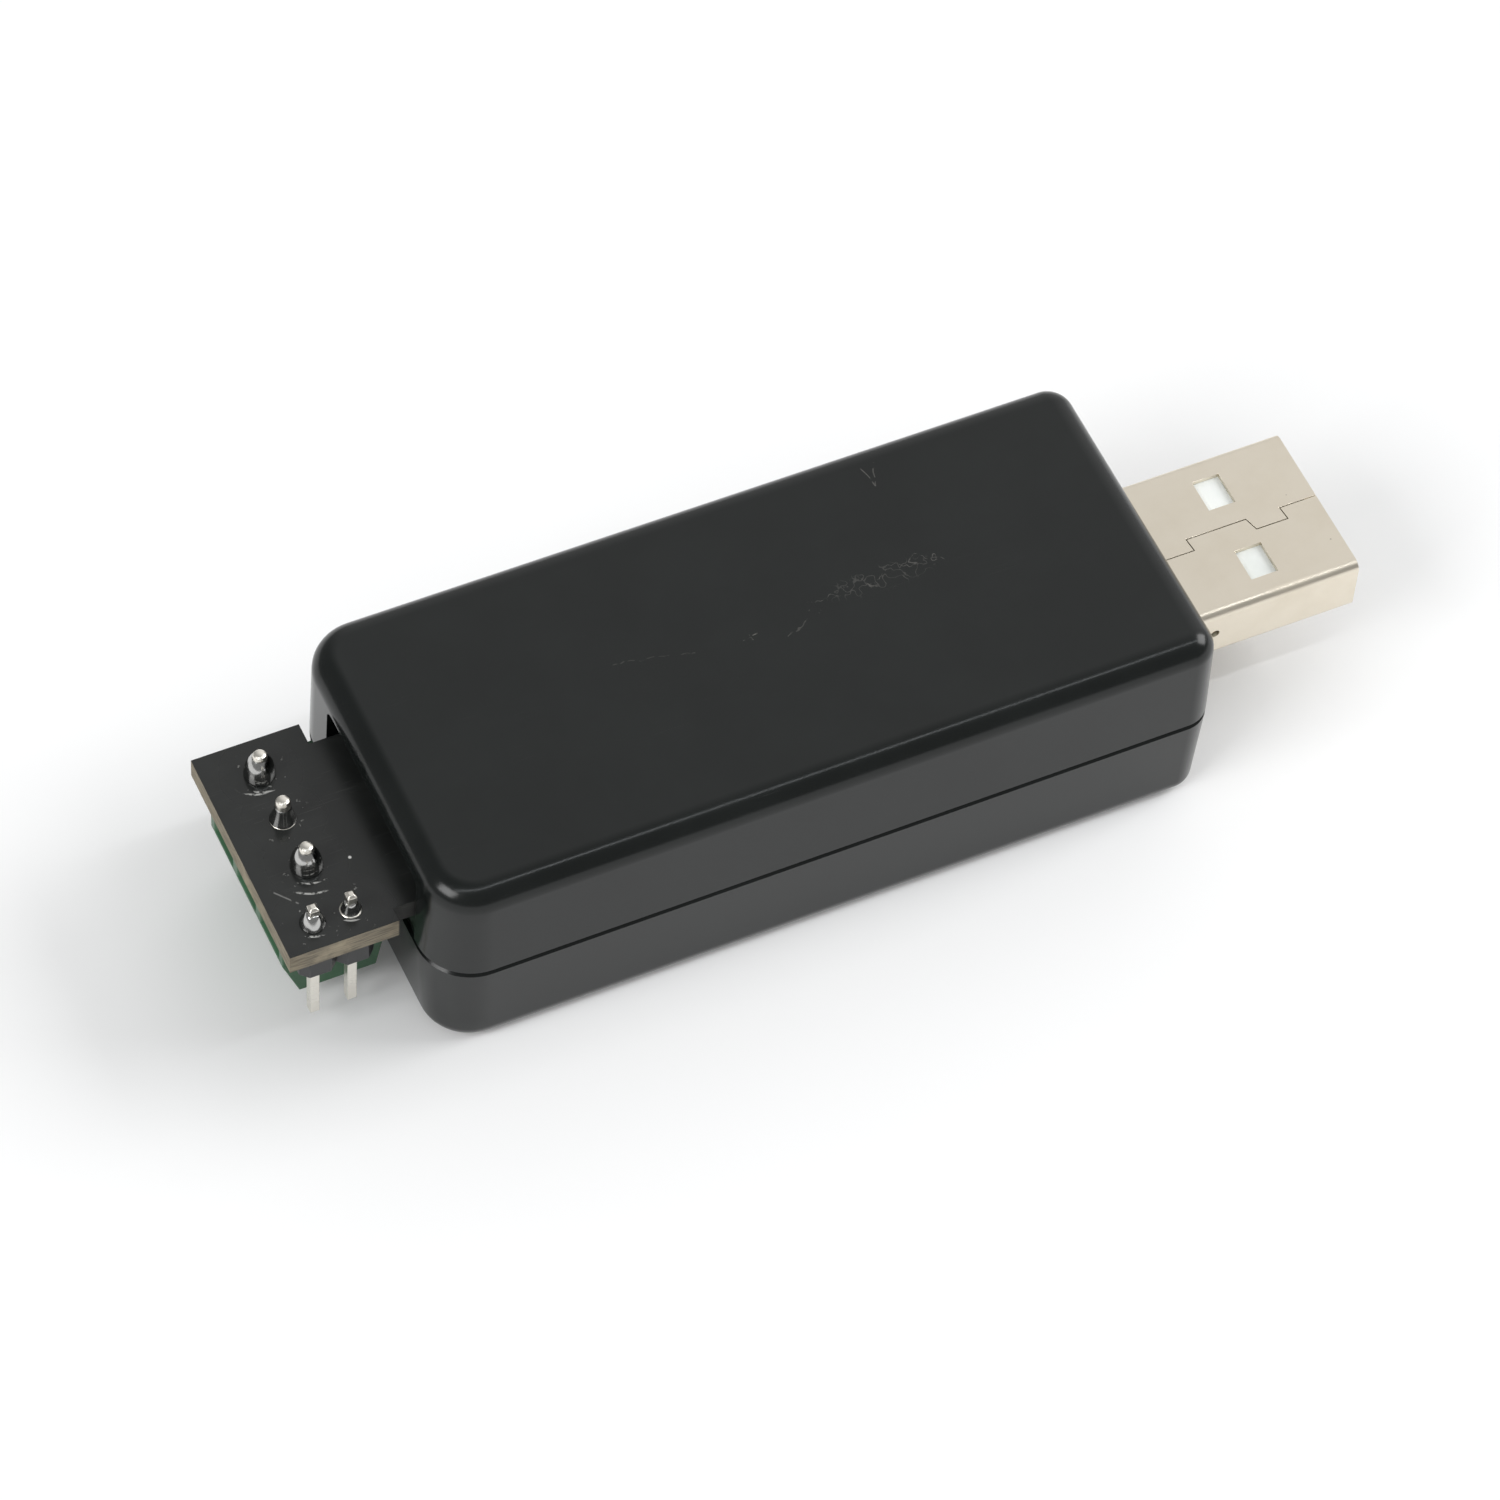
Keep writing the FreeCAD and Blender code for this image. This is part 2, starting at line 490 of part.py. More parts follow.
def make_usb_contacts():
    """Four strips along the carrier; behind it each turns up as a tail through the board."""
    low = f"({PARTING} + dims.plug_height / 2 - dims.plug_sheet - dims.insulator_gap - dims.insulator_thick)"
    high = f"({low} + dims.contact_thick)"
    strips = []
    near, far = (f"({CONTACT_TAIL_X} {sign} dims.contact_tail_long / 2)" for sign in "-+")
    recesses = [f"dims.contact_{name}" for name in ("first", "second", "second", "first")]
    for number, (y, recess) in enumerate(zip(CONTACT_ROWS, recesses)):
        strip = box(f"contact_strip_{number}", near, f"{MOUTH} - {recess}",
                    f"{y} - dims.contact_wide / 2", f"{y} + dims.contact_wide / 2", low, high)
        tail = box(f"contact_tail_{number}", near, far,
                   f"{y} - dims.contact_tail / 2", f"{y} + dims.contact_tail / 2", low, f"{BOARD_TOP} + 0.6")
        strips.append(doc.addObject("Part::Fuse", f"contact_{number}"))
        strips[-1].Base, strips[-1].Tool = strip, tail
    group("usb_contacts", strips)


# ---- solder ----------------------------------------------------------------------------------------------
def solder_joints(label, places, radii, height, tail_long, tail_wide):
    """Cone of solder on the board's upper face, round a tail of the given section."""
    joints = []
    for number, (x, y) in enumerate(places):
        cone = doc.addObject("Part::Cone", f"{label}_cone_{number}")
        cone.setExpression("Radius1", str(radii[0]))
        cone.setExpression("Radius2", str(radii[1]))
        cone.setExpression("Height", str(height))
        place(cone, x, y, BOARD_TOP)
        hole = block(f"{label}_hole_{number}", x, y, f"{BOARD_TOP} - 1", f"{BOARD_TOP} + {height} + 1",
                     tail_long, tail_wide)
        joints.append(doc.addObject("Part::Cut", f"{label}_{number}"))
        joints[-1].Base, joints[-1].Tool = cone, hole
    group(label, joints)


# radii at the board and at the top, and height, of each kind of joint
CONTACT_JOINT = ((0.75, 0.45), 0.5)
SHELL_JOINT = ((1.5, 1.15), 0.4)
HEADER_JOINT = ((0.9, 0.48), 0.95)
# terminal joint: how far it stands out from its tail, at each height above the board
TERMINAL_JOINT = [(0.58, 0.0), (0.5, 0.35), (0.3, 1.0), (0.1, 1.5)]
TERMINAL_JOINT_TOP = 1.6


def make_solder_joints():
    solder_joints("usb_contact_solder_joints", [(CONTACT_TAIL_X, y) for y in CONTACT_ROWS], *CONTACT_JOINT,
                  "dims.contact_tail_long", "dims.contact_tail")
    legs = [(PLUG_LEG_X, f"{side}(dims.plug_width / 2 - dims.plug_sheet / 2)") for side in ("", "-")]
    solder_joints("usb_shell_solder_joints", legs, *SHELL_JOINT, "dims.plug_leg_long", "dims.plug_sheet")
    pins = [(f"dims.header_first + dims.header_pitch * {pin}", "dims.header_row") for pin in (0, 1)]
    solder_joints("header_solder_joints", pins, *HEADER_JOINT, "dims.header_pin", "dims.header_pin")
    body = new_body("terminal_solder_joints")
    place(body, "dims.terminal_axis + dims.tail_offset", "dims.terminal_centre", BOARD_TOP)
    half = new_sketch(body, "joint_half", "XZ_Plane")
    inner = "dims.tail_radius"
    outline(half, [(inner, "0")] + [(f"{inner} + {reach}", height) for reach, height in TERMINAL_JOINT]
            + [(inner, TERMINAL_JOINT_TOP)])
    joint = revolve(body, half)
    repeat_both_ways(body, [joint])


def repeat_both_ways(body, features):
    """Three poles: the middle one, made first, and one at each side of it."""
    transform = body.newObject("PartDesign::MultiTransform", f"{body.Name}_poles")
    transform.Originals = features
    row = body.newObject("PartDesign::LinearPattern", f"{body.Name}_side")
    row.Direction = (origin_item(body, "Y_Axis"), [""])
    row.setExpression("Length", "dims.terminal_pitch")
    row.Occurrences = 2
    mirror = body.newObject("PartDesign::Mirrored", f"{body.Name}_mirror")
    mirror.MirrorPlane = (origin_item(body, "XZ_Plane"), [""])
    transform.Transformations = [row, mirror]
    body.Tip = transform
    doc.recompute()


# ---- terminal block: in its own frame +Z points down from the board's underside --------------------------
def hang_at_pole(body, pole):
    across = f"dims.terminal_centre + dims.terminal_pitch * {pole}"
    place(body, "dims.terminal_axis", across, BOARD_LOW, hang=True)


def make_terminal_housing():
    body = new_body("terminal_housing")
    hang_at_pole(body, 0)
    side = new_sketch(body, "housing_side", "XZ_Plane")
    outline(side, [("-dims.terminal_outer", "0"), ("dims.terminal_inner", "0"),
                   ("dims.terminal_inner", "dims.terminal_shoulder"),
                   ("dims.terminal_inner - dims.terminal_slope_inner", "dims.terminal_height"),
                   ("-dims.terminal_outer + dims.terminal_slope_outer", "dims.terminal_height"),
                   ("-dims.terminal_outer", "dims.terminal_shoulder")])
    pad(body, side, "dims.terminal_length", midplane=True)
    cells = new_sketch(body, "cells")
    bores = new_sketch(body, "screw_bores", offset="dims.terminal_height")
    mouths = new_sketch(body, "wire_mouths", "YZ_Plane", "-dims.terminal_outer - 0.5")
    for pole in POLES:
        y = f"dims.terminal_pitch * {pole}"
        rectangle(cells, "-dims.cell_outer", "dims.cell_inner", f"{y} - dims.cell_width / 2",
                  f"{y} + dims.cell_width / 2")
        circle(bores, "0", y, "dims.screw_bore_radius")
        rectangle(mouths, f"{y} - dims.mouth_width / 2", f"{y} + dims.mouth_width / 2", "dims.mouth_low",
                  "dims.mouth_high")
    pocket(body, cells, "dims.cell_roof", reverse=True)
    pocket(body, bores, "dims.terminal_height - dims.cell_roof + 0.1")
    pocket(body, mouths, "dims.terminal_outer - dims.cell_outer + 0.7", reverse=True)
    face = -size("dims.terminal_outer")
    chamfer(body, "mouth_funnels", "dims.mouth_chamfer",
            lambda b: b.XLength < 1e-4 and abs(b.XMin - face) < 1e-3 and b.YLength < 2.6 and b.ZLength < 4
            and b.ZMin > 1.0 and b.ZMax < 5.3)


def make_terminal_screws():
    for pole in POLES:
        body = new_body(f"terminal_screw_{pole + 2}")
        hang_at_pole(body, pole)
        half = new_sketch(body, f"screw_half_{pole + 2}", "XZ_Plane")
        outline(half, [("0", "dims.screw_tip"), ("dims.screw_radius - dims.screw_point", "dims.screw_tip"),
                       ("dims.screw_radius", "dims.screw_tip + dims.screw_point"),
                       ("dims.screw_radius", "dims.screw_head_low"),
                       ("dims.screw_head_radius", "dims.screw_head_low"),
                       ("dims.screw_head_radius", "dims.screw_head_high - dims.screw_rim"),
                       ("dims.screw_head_radius - dims.screw_rim", "dims.screw_head_high"),
                       ("0", "dims.screw_head_high")])
        revolve(body, half)
        slot = new_sketch(body, f"screw_slot_{pole + 2}", offset="dims.screw_head_high")
        rectangle(slot, "-2", "2", "-dims.screw_slot_wide / 2", "dims.screw_slot_wide / 2")
        pocket(body, slot, "dims.screw_slot_deep")


def make_wire_clamps():
    """Cage round the fixed bar: the screw's tip rests on the bar and draws the cage's plate up its thread."""
    for pole in POLES:
        body = new_body(f"wire_clamp_{pole + 2}")
        hang_at_pole(body, pole)
        ring = new_sketch(body, f"clamp_ring_{pole + 2}", "YZ_Plane")
        rectangle(ring, "-dims.clamp_width / 2", "dims.clamp_width / 2", "dims.clamp_low", "dims.clamp_high")
        rectangle(ring, "-dims.clamp_width / 2 + dims.clamp_side", "dims.clamp_width / 2 - dims.clamp_side",
                  "dims.clamp_low + dims.clamp_jaw", "dims.clamp_plate")
        pad(body, ring, "dims.clamp_long", midplane=True)
        bore = new_sketch(body, f"clamp_bore_{pole + 2}", offset="dims.clamp_high")
        circle(bore, "0", "0", "dims.clamp_bore_radius")
        pocket(body, bore, "dims.clamp_high - dims.clamp_plate + 0.2")


def make_terminal_pins():
    """Strip bent round the cage: a leg along the board, a riser, and the bar a wire is clamped against."""
    body = new_body("terminal_pins")
    place(body, "dims.terminal_axis + dims.tail_offset", "dims.terminal_centre", BOARD_LOW, hang=True)
    axis = "-dims.tail_offset"
    strip = new_sketch(body, "strip_side", "XZ_Plane")
    outline(strip, [("-0.25", "dims.leg_low"), (f"{axis} + dims.riser_far", "dims.leg_low"),
                    (f"{axis} + dims.riser_far", "dims.bar_high"),
                    (f"{axis} - dims.bar_reach", "dims.bar_high"),
                    (f"{axis} - dims.bar_reach", "dims.bar_low"),
                    (f"{axis} + dims.riser_near", "dims.bar_low"),
                    (f"{axis} + dims.riser_near", "dims.leg_high"), ("-0.25", "dims.leg_high")])
    bar = pad(body, strip, "dims.bar_width", midplane=True)
    tail = new_sketch(body, "tail_half", "XZ_Plane")
    end = "-dims.board_thick - dims.tail_above_board"
    outline(tail, [("0", "dims.leg_high - 0.1"), ("dims.tail_radius", "dims.leg_high - 0.1"),
                   ("dims.tail_radius", f"{end} + 0.3"), ("dims.tail_radius * 0.8", f"{end} + 0.1"),
                   ("dims.tail_radius * 0.45", end), ("0", end)])
    stem = revolve(body, tail)
    repeat_both_ways(body, [bar, stem])


# ---- header ----------------------------------------------------------------------------------------------
def make_header():
    base = new_body("header_base")
    place(base, "dims.header_first", "dims.header_row", BOARD_LOW, hang=True)
    cell, cut, pitch = "dims.header_pitch / 2", "dims.header_chamfer", "dims.header_pitch"
    plan = new_sketch(base, "base_plan")
    lower = [(f"-{cell}", f"-{cell} + {cut}"), (f"-{cell} + {cut}", f"-{cell}"), (f"{cell} - {cut}", f"-{cell}"),
             (cell, f"-{cell} + {cut}"), (f"{cell} + {cut}", f"-{cell}"),
             (f"{pitch} + {cell} - {cut}", f"-{cell}"), (f"{pitch} + {cell}", f"-{cell} + {cut}")]
    upper = [(x, f"-({y})") for x, y in lower[::-1]]
    outline(plan, lower + upper)
    pad(base, plan, pitch)
    holes = new_sketch(base, "pin_holes")
    half = "(dims.header_pin / 2 + 0.01)"
    for pin in (0, 1):
        middle = f"{pitch} * {pin}"
        rectangle(holes, f"{middle} - {half}", f"{middle} + {half}", f"-{half}", half)
    pocket(base, holes, pitch, reverse=True)
    pins = new_body("header_pins")
    place(pins, "dims.header_first", "dims.header_row", BOARD_LOW, hang=True)
    section = new_sketch(pins, "pin_section", offset="-dims.board_thick - dims.header_pin_above")
    side = "dims.header_pin / 2"
    rectangle(section, f"-{side}", side, f"-{side}", side)
    shank = pad(pins, section, "dims.board_thick + dims.header_pin_above + dims.header_pin_below")
    ends = (-size("dims.board_thick + dims.header_pin_above"), size("dims.header_pin_below"))
    tips = chamfer(pins, "pin_tips", "dims.header_pin_tip",
                   lambda b: b.ZLength < 1e-4 and min(abs(b.ZMin - end) for end in ends) < 1e-3)
    repeat(pins, [shank, tips], "X_Axis", pitch, 2)


# ---- pieces on the board's underside -----------------------------------------------------------------------
MARK_INSET, MARK_RADIUS, MARK_DEPTH = 0.9, 0.3, 0.08
SEAT = 0.02  # clearance between a part and the board


def make_chip(label, x, y, long, wide, low, high, dot=True):
    """Moulded package: tapered block with a small round mark in one corner."""
    body = new_body(label)
    place(body, x, y, BOARD_LOW, hang=True)
    foot = new_sketch(body, f"{label}_foot", offset=low)
    rectangle(foot, -long / 2, long / 2, -wide / 2, wide / 2)
    pad(body, foot, high - low, taper="-5")
    if dot:
        mark = new_sketch(body, f"{label}_mark", offset=high)
        circle(mark, MARK_INSET - long / 2, MARK_INSET - wide / 2, MARK_RADIUS)
        pocket(body, mark, MARK_DEPTH)


def make_leads(label, x, y, inner, reach, foot, low_face, thick, wide, pitch, per_side, sides):
    """Gull-wing leads in rows: one lead, repeated along Y and then turned about the package's middle."""
    body = new_body(label)
    place(body, x, y, BOARD_LOW, hang=True)
    lead = new_sketch(body, f"{label}_lead", "XZ_Plane")
    knee = reach - foot
    outline(lead, [(inner, low_face), (knee - 0.1, low_face), (knee, SEAT), (reach, SEAT),
                   (reach, SEAT + thick), (knee + 0.12, SEAT + thick), (knee + 0.02, low_face + thick),
                   (inner, low_face + thick)])
    lead.setExpression("AttachmentOffset.Base.z", f"{pitch * (per_side - 1) / 2}")
    one = pad(body, lead, wide, midplane=True)
    transform = body.newObject("PartDesign::MultiTransform", f"{label}_rows")
    transform.Originals = [one]
    row = body.newObject("PartDesign::LinearPattern", f"{label}_row")
    row.Direction = (origin_item(body, "Y_Axis"), [""])
    row.Length = pitch * (per_side - 1)
    row.Occurrences = per_side
    turn = body.newObject("PartDesign::PolarPattern", f"{label}_turn")
    turn.Axis = (origin_item(body, "Z_Axis"), [""])
    turn.Angle = 360
    turn.Occurrences = sides
    transform.Transformations = [row, turn]
    body.Tip = transform
    doc.recompute()


# length, width, lower and upper height of the foot and of the can on it
CRYSTAL = {"crystal_base": (11.0, 4.6, SEAT, 0.8), "crystal_can": (10.2, 3.8, 0.7, 3.9)}
# length, lower and upper height
LAMP = {"carrier": (2.0, SEAT, 0.4), "lens": (1.2, 0.4, 0.95)}
LAMP_WIDTH = 1.24


def make_crystal():
    body = new_body("crystal")
    place(body, 10.5, 3.0, BOARD_LOW, hang=True)
    for name, (long, wide, low, high) in CRYSTAL.items():
        plan = new_sketch(body, name, offset=low)
        radius = wide / 2 - 0.01
        rounded_rectangle(plan, -long / 2, long / 2, -wide / 2, wide / 2, radius, radius)
        pad(body, plan, high - low)
    top = CRYSTAL["crystal_can"][3]
    fillet(body, "crystal_rim", "0.4", lambda b: b.ZMin > top - 0.01)


def make_lamp(label, x, y):
    """Small surface-mounted lamp: a flat carrier and a raised clear lens in one piece."""
    body = new_body(label)
    place(body, x, y, BOARD_LOW, hang=True)
    for name, (long, low, high) in LAMP.items():
        plan = new_sketch(body, f"{label}_{name}", offset=low)
        rectangle(plan, -long / 2, long / 2, -LAMP_WIDTH / 2, LAMP_WIDTH / 2)
        pad(body, plan, high - low, taper="-8" if name == "lens" else None)


def chip_part(name, x, y, long, wide, high, cap):
    """One two-ended part, as its body and its two metal end caps."""
    low, top = f"{BOARD_LOW} - {high}", f"{BOARD_LOW} - 0.03"
    middle = block(f"{name}_middle", x, y, f"{low} + 0.03", top, long - 2 * cap, wide - 0.04)
    ends = [block(f"{name}_cap_{side}", x + (side - 0.5) * (long - cap), y, low, f"{top} + 0.02", cap, wide)
            for side in (0, 1)]
    return middle, ends


# rows of chip parts: group, name, how many, first place, step along X, then length, width, height and cap
CHIP_ROWS = [
    ("ceramic_capacitors", "capacitor", 5, (-9.0, 7.0), 3.3, (2.0, 1.25, 0.95, 0.4)),
    ("chip_resistors", "resistor", 7, (-19.0, -7.0), 3.3, (2.0, 1.25, 0.6, 0.35)),
    ("resettable_fuse", "fuse", 1, (15.6, -0.9), 0.0, (3.2, 1.6, 0.8, 0.5)),
]
# chips: name, middle, then length, width, lower and upper height, and whether it has a mark
CHIPS = [
    ("microcontroller", (-1.0, 0.0), (7.0, 7.0, 0.1, 1.5), True),
    ("bus_transceiver", (-14.0, 0.0), (3.9, 4.9, 0.12, 1.6), True),
    ("voltage_regulator", (9.0, -3.6), (3.5, 6.0, 0.05, 1.65), False),
    ("protection_diode", (-21.0, 0.0), (1.3, 2.9, 0.08, 1.05), False),
]
# leads: name, middle, then root, reach, foot, height of the root, thickness, width, pitch, in a row, rows
LEADS = [
    ("microcontroller_leads", (-1.0, 0.0), (3.5, 4.5, 0.6, 0.7, 0.15, 0.35, 0.8, 8, 4)),
    ("bus_transceiver_leads", (-14.0, 0.0), (1.95, 3.0, 0.6, 0.75, 0.2, 0.42, 1.27, 4, 2)),
    ("regulator_leads", (9.0, -3.6), (1.75, 3.1, 0.9, 0.7, 0.25, 0.7, 2.0, 3, 2)),
    ("protection_diode_leads", (-21.0, 0.0), (0.65, 1.25, 0.35, 0.45, 0.12, 0.4, 1.9, 2, 2)),
]


def make_small_parts():
    caps = []
    for label, name, count, (x, y), step, sizes in CHIP_ROWS:
        middles = []
        for number in range(count):
            middle, ends = chip_part(f"{name}_{number}", x + step * number, y, *sizes)
            middles.append(middle)
            caps += ends
        group(label, middles)
    group("chip_end_caps", caps)


def make_board_parts():
    for label, middle, sizes, dot in CHIPS:
        make_chip(label, *middle, *sizes, dot=dot)
    for label, middle, sizes in LEADS:
        make_leads(label, *middle, *sizes)
    make_crystal()
    make_lamp("power_led", -18.0, 6.6)
    make_lamp("activity_led", -14.5, 6.6)
    make_small_parts()


def check_document():
    """Stop before writing anything if one object failed or one piece is empty or broken."""
    doc.recompute()
    for item in doc.Objects:
        if "Invalid" in item.State or "Error" in item.State:
            raise RuntimeError(f"{item.Name} is {item.State}")
    for label, item in nodes.items():
        if item.Shape.isNull() or not item.Shape.isValid() or not item.Shape.Solids:
            raise RuntimeError(f"{label} has no valid solid")


def write_steps():
    os.makedirs("parts", exist_ok=True)
    for old in os.listdir("parts"):
        if old.endswith(".step") and old[:-5] not in nodes:
            os.remove(os.path.join("parts", old))
    for label, item in nodes.items():
        item.Shape.exportStep(os.path.join("parts", f"{label}.step"))
        print(f"{label}: {len(item.Shape.Solids)} solid(s), {item.Shape.Volume:.2f} mm3")


make_top_shell()
make_bottom_shell()
make_circuit_board()
make_plug_shell()
make_plug_insulator()
make_usb_contacts()
make_terminal_housing()
make_terminal_screws()
make_wire_clamps()
make_terminal_pins()
make_header()
make_solder_joints()
make_board_parts()
check_document()
write_steps()
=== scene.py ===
"""Looks for a stick-shaped USB bus adapter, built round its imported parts.

Each sub-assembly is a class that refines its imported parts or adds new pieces, each finish is a frozen
dataclass that makes one procedural material, and what repeats is made with geometry nodes.
"""

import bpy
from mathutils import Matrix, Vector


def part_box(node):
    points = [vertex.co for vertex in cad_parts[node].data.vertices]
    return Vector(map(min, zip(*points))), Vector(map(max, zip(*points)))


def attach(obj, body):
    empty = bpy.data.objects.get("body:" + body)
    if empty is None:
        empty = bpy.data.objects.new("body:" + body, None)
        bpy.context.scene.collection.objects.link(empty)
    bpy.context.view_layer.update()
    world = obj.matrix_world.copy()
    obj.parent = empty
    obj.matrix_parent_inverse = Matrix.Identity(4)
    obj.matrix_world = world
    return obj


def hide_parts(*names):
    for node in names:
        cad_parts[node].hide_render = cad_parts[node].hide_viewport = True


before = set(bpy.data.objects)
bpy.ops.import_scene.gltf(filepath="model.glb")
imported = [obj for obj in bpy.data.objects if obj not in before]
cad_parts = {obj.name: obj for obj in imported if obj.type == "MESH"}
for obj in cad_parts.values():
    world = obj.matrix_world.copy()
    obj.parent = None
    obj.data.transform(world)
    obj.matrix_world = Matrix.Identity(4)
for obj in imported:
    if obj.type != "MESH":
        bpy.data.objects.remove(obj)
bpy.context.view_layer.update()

import logging
import math
from dataclasses import dataclass
from enum import Enum
from typing import Any, Callable, Iterable

import bmesh
import bpy
from mathutils import Matrix, Vector

MM = 0.001
ROOT = "adapter"
BEVELLED_TURN = 38.0  # the least turn in degrees of an outer edge that is broken
SHARP_TURN = 32.0  # the turn in degrees from which an edge is shaded sharp
SHEET_TURN = 28.0  # the same for the case and the folded sheet
FLAT_TURN = 0.25  # the turn in degrees under which neighbours are one flat
FLAT_WEIGHT = 60  # how far the larger of two faces leads at their corner
JOINED = 0.002 * MM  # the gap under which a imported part's corners are one
WELDED = 0.0005 * MM  # the same for a piece that a recipe makes
POLES = (1, 2, 3)
UP = Vector((0, 0, 1))
SCALARS = ("DOT_PRODUCT", "LENGTH", "DISTANCE")  # vector operations that give a number
Colour = tuple[float, float, float]
Socket = bpy.types.NodeSocket

log = logging.getLogger("adapter")


def grey(level: float) -> Colour:
    """A neutral colour of that linear level."""
    return (level, level, level)


def rgba(colour: Colour) -> tuple[float, float, float, float]:
    """The colour with full alpha."""
    return (*colour, 1.0)


# ---------------------------------------------------------------------------------------------
# node trees
# ---------------------------------------------------------------------------------------------


class Bench:
    """Adds nodes to one tree, setting or linking each input that is named."""

    def __init__(self, tree: bpy.types.NodeTree) -> None:
        """Args:
            tree: the node tree that the bench adds to.
        """
        self.tree = tree

    def add(self, kind: str, inputs: dict[Any, Any] | None = None, **settings: Any) -> bpy.types.Node:
        """Adds one node.

        Args:
            kind: the node's type.
            inputs: a value or a socket for each input, by name or place.
            settings: the node's own properties.

        Returns:
            The node.
        """
        node = self.tree.nodes.new(kind)
        for key, value in settings.items():
            setattr(node, key, value)
        for key, value in (inputs or {}).items():
            if isinstance(value, Socket):
                self.tree.links.new(value, node.inputs[key])
            else:
                node.inputs[key].default_value = value
        return node

    def math(self, operation: str, *values: Any) -> Socket:
        """A math node's result. Args: the operation, and its one to three operands."""
        return self.add("ShaderNodeMath", dict(enumerate(values)), operation=operation).outputs[0]

    def plus(self, first: Any, second: Any) -> Socket:
        """The sum of two values."""
        return self.math("ADD", first, second)

    def times(self, first: Any, *others: Any) -> Socket:
        """The product of two or more values."""
        for other in others:
            first = self.math("MULTIPLY", first, other)
        return first

    def vector(self, operation: str, *values: Any) -> Socket:
        """A vector math node's result. Args: the operation, and its operands."""
        node = self.add("ShaderNodeVectorMath", dict(enumerate(values)), operation=operation)
        return node.outputs["Value" if operation in SCALARS else "Vector"]

    def fade(self, value: Any, start: Any, end: Any, low: float = 0.0, high: float = 1.0) -> Socket:
        """A smooth step of value, from low at start to high at end."""
        return self.add(
            "ShaderNodeMapRange",
            {"Value": value, "From Min": start, "From Max": end, "To Min": low, "To Max": high},
            interpolation_type="SMOOTHSTEP",
        ).outputs["Result"]

    def mix(self, factor: Any, first: Any, second: Any) -> Socket:
        """Two colours mixed. Args: the share of the second, the first colour, and the second."""
        sides = [v if isinstance(v, Socket) else rgba(v) for v in (first, second)]
        return self.add(
            "ShaderNodeMix", {"Factor": factor, 6: sides[0], 7: sides[1]}, data_type="RGBA"
        ).outputs[2]

    def layers(self, colour: Any, *rows: tuple[Any, float, Any]) -> Socket:
        """Colours laid one over another. Args: the first, then each layer's mask, strength and colour."""
        for mask, strength, above in rows:
            colour = self.mix(self.times(mask, strength), colour, above)
        return colour

    def stroke(self, place: Socket, ends: Iterable[float], bend: Any = 0.0) -> tuple[Socket, Socket]:
        """A straight stroke seen from above.

        Args:
            place: the point on the surface.
            ends: the stroke's ends, as x, y, x and y in millimetres.
            bend: how far it is moved aside at that point.

        Returns:
            The point's distance from it, and 1 between its ends or 0 past them.
        """
        left, near, right, far = ends
        start, end = Vector((left, near, 0)) * MM, Vector((right, far, 0)) * MM
        along = (end - start).normalized()
        offset = self.vector("SUBTRACT", place, start)
        run = self.vector("DOT_PRODUCT", offset, along)
        side = self.vector("DOT_PRODUCT", offset, UP.cross(along))
        within = self.times(
            self.math("GREATER_THAN", run, 0.0), self.math("LESS_THAN", run, (end - start).length)
        )
        return self.math("ABSOLUTE", self.plus(side, bend)), within

    def noise(self, vector: Socket, size: Any, detail: float = 2.0, rough: float = 0.5) -> Socket:
        """Noise with blotches of that size, in metres. Returns a value from 0 to 1."""
        scale = self.math("DIVIDE", 1.0, size) if isinstance(size, Socket) else 1.0 / size
        return self.add(
            "ShaderNodeTexNoise", {"Vector": vector, "Scale": scale, "Detail": detail, "Roughness": rough}
        ).outputs["Fac"]

    def stretched(self, vector: Socket, turn: float, along: float, across: float) -> Socket:
        """Streaky noise. Args: the place, the streaks' turn about Z, and their length and width in metres."""
        turned = self.add(
            "ShaderNodeMapping",
            {"Vector": vector, "Rotation": (0, 0, turn), "Scale": (1 / along, 1 / across, 1 / across)},
        ).outputs[0]
        return self.add("ShaderNodeTexNoise", {"Vector": turned, "Scale": 1.0, "Detail": 1.0}).outputs["Fac"]


GroupInputs = dict[str, tuple[str, float | tuple[float, float, float]]]
FLOAT, VECTOR = "NodeSocketFloat", "NodeSocketVector"
ORIGIN = (0, 0, 0)


@dataclass(frozen=True)
class ShaderGroup:
    """A shader effect that several finishes share, built once as a node group."""

    name: str
    inputs: GroupInputs
    build: Callable[[Bench, dict[str, Socket]], dict[str, Socket]]

    def tree(self) -> bpy.types.NodeTree:
        """The group's node tree, made on first use."""
        found = bpy.data.node_groups.get(self.name)
        if found:
            return found
        tree = bpy.data.node_groups.new(self.name, "ShaderNodeTree")
        for name, (kind, value) in self.inputs.items():
            socket = tree.interface.new_socket(name, in_out="INPUT", socket_type=kind)
            socket.default_value = value
        entry = tree.nodes.new("NodeGroupInput")
        results = self.build(Bench(tree), {name: entry.outputs[name] for name in self.inputs})
        leave = tree.nodes.new("NodeGroupOutput")
        for name, result in results.items():
            tree.interface.new_socket(name, in_out="OUTPUT", socket_type=FLOAT)
            tree.links.new(result, leave.inputs[name])
        return tree

    def place(self, bench: Bench, **values: Any) -> bpy.types.Node:
        """Puts the group in a material. Args: the bench, and a value or socket for each input."""
        node = bench.add("ShaderNodeGroup", node_tree=self.tree())
        for name, value in values.items():
            if isinstance(value, Socket):
                bench.tree.links.new(value, node.inputs[name])
            else:
                node.inputs[name].default_value = value
        return node


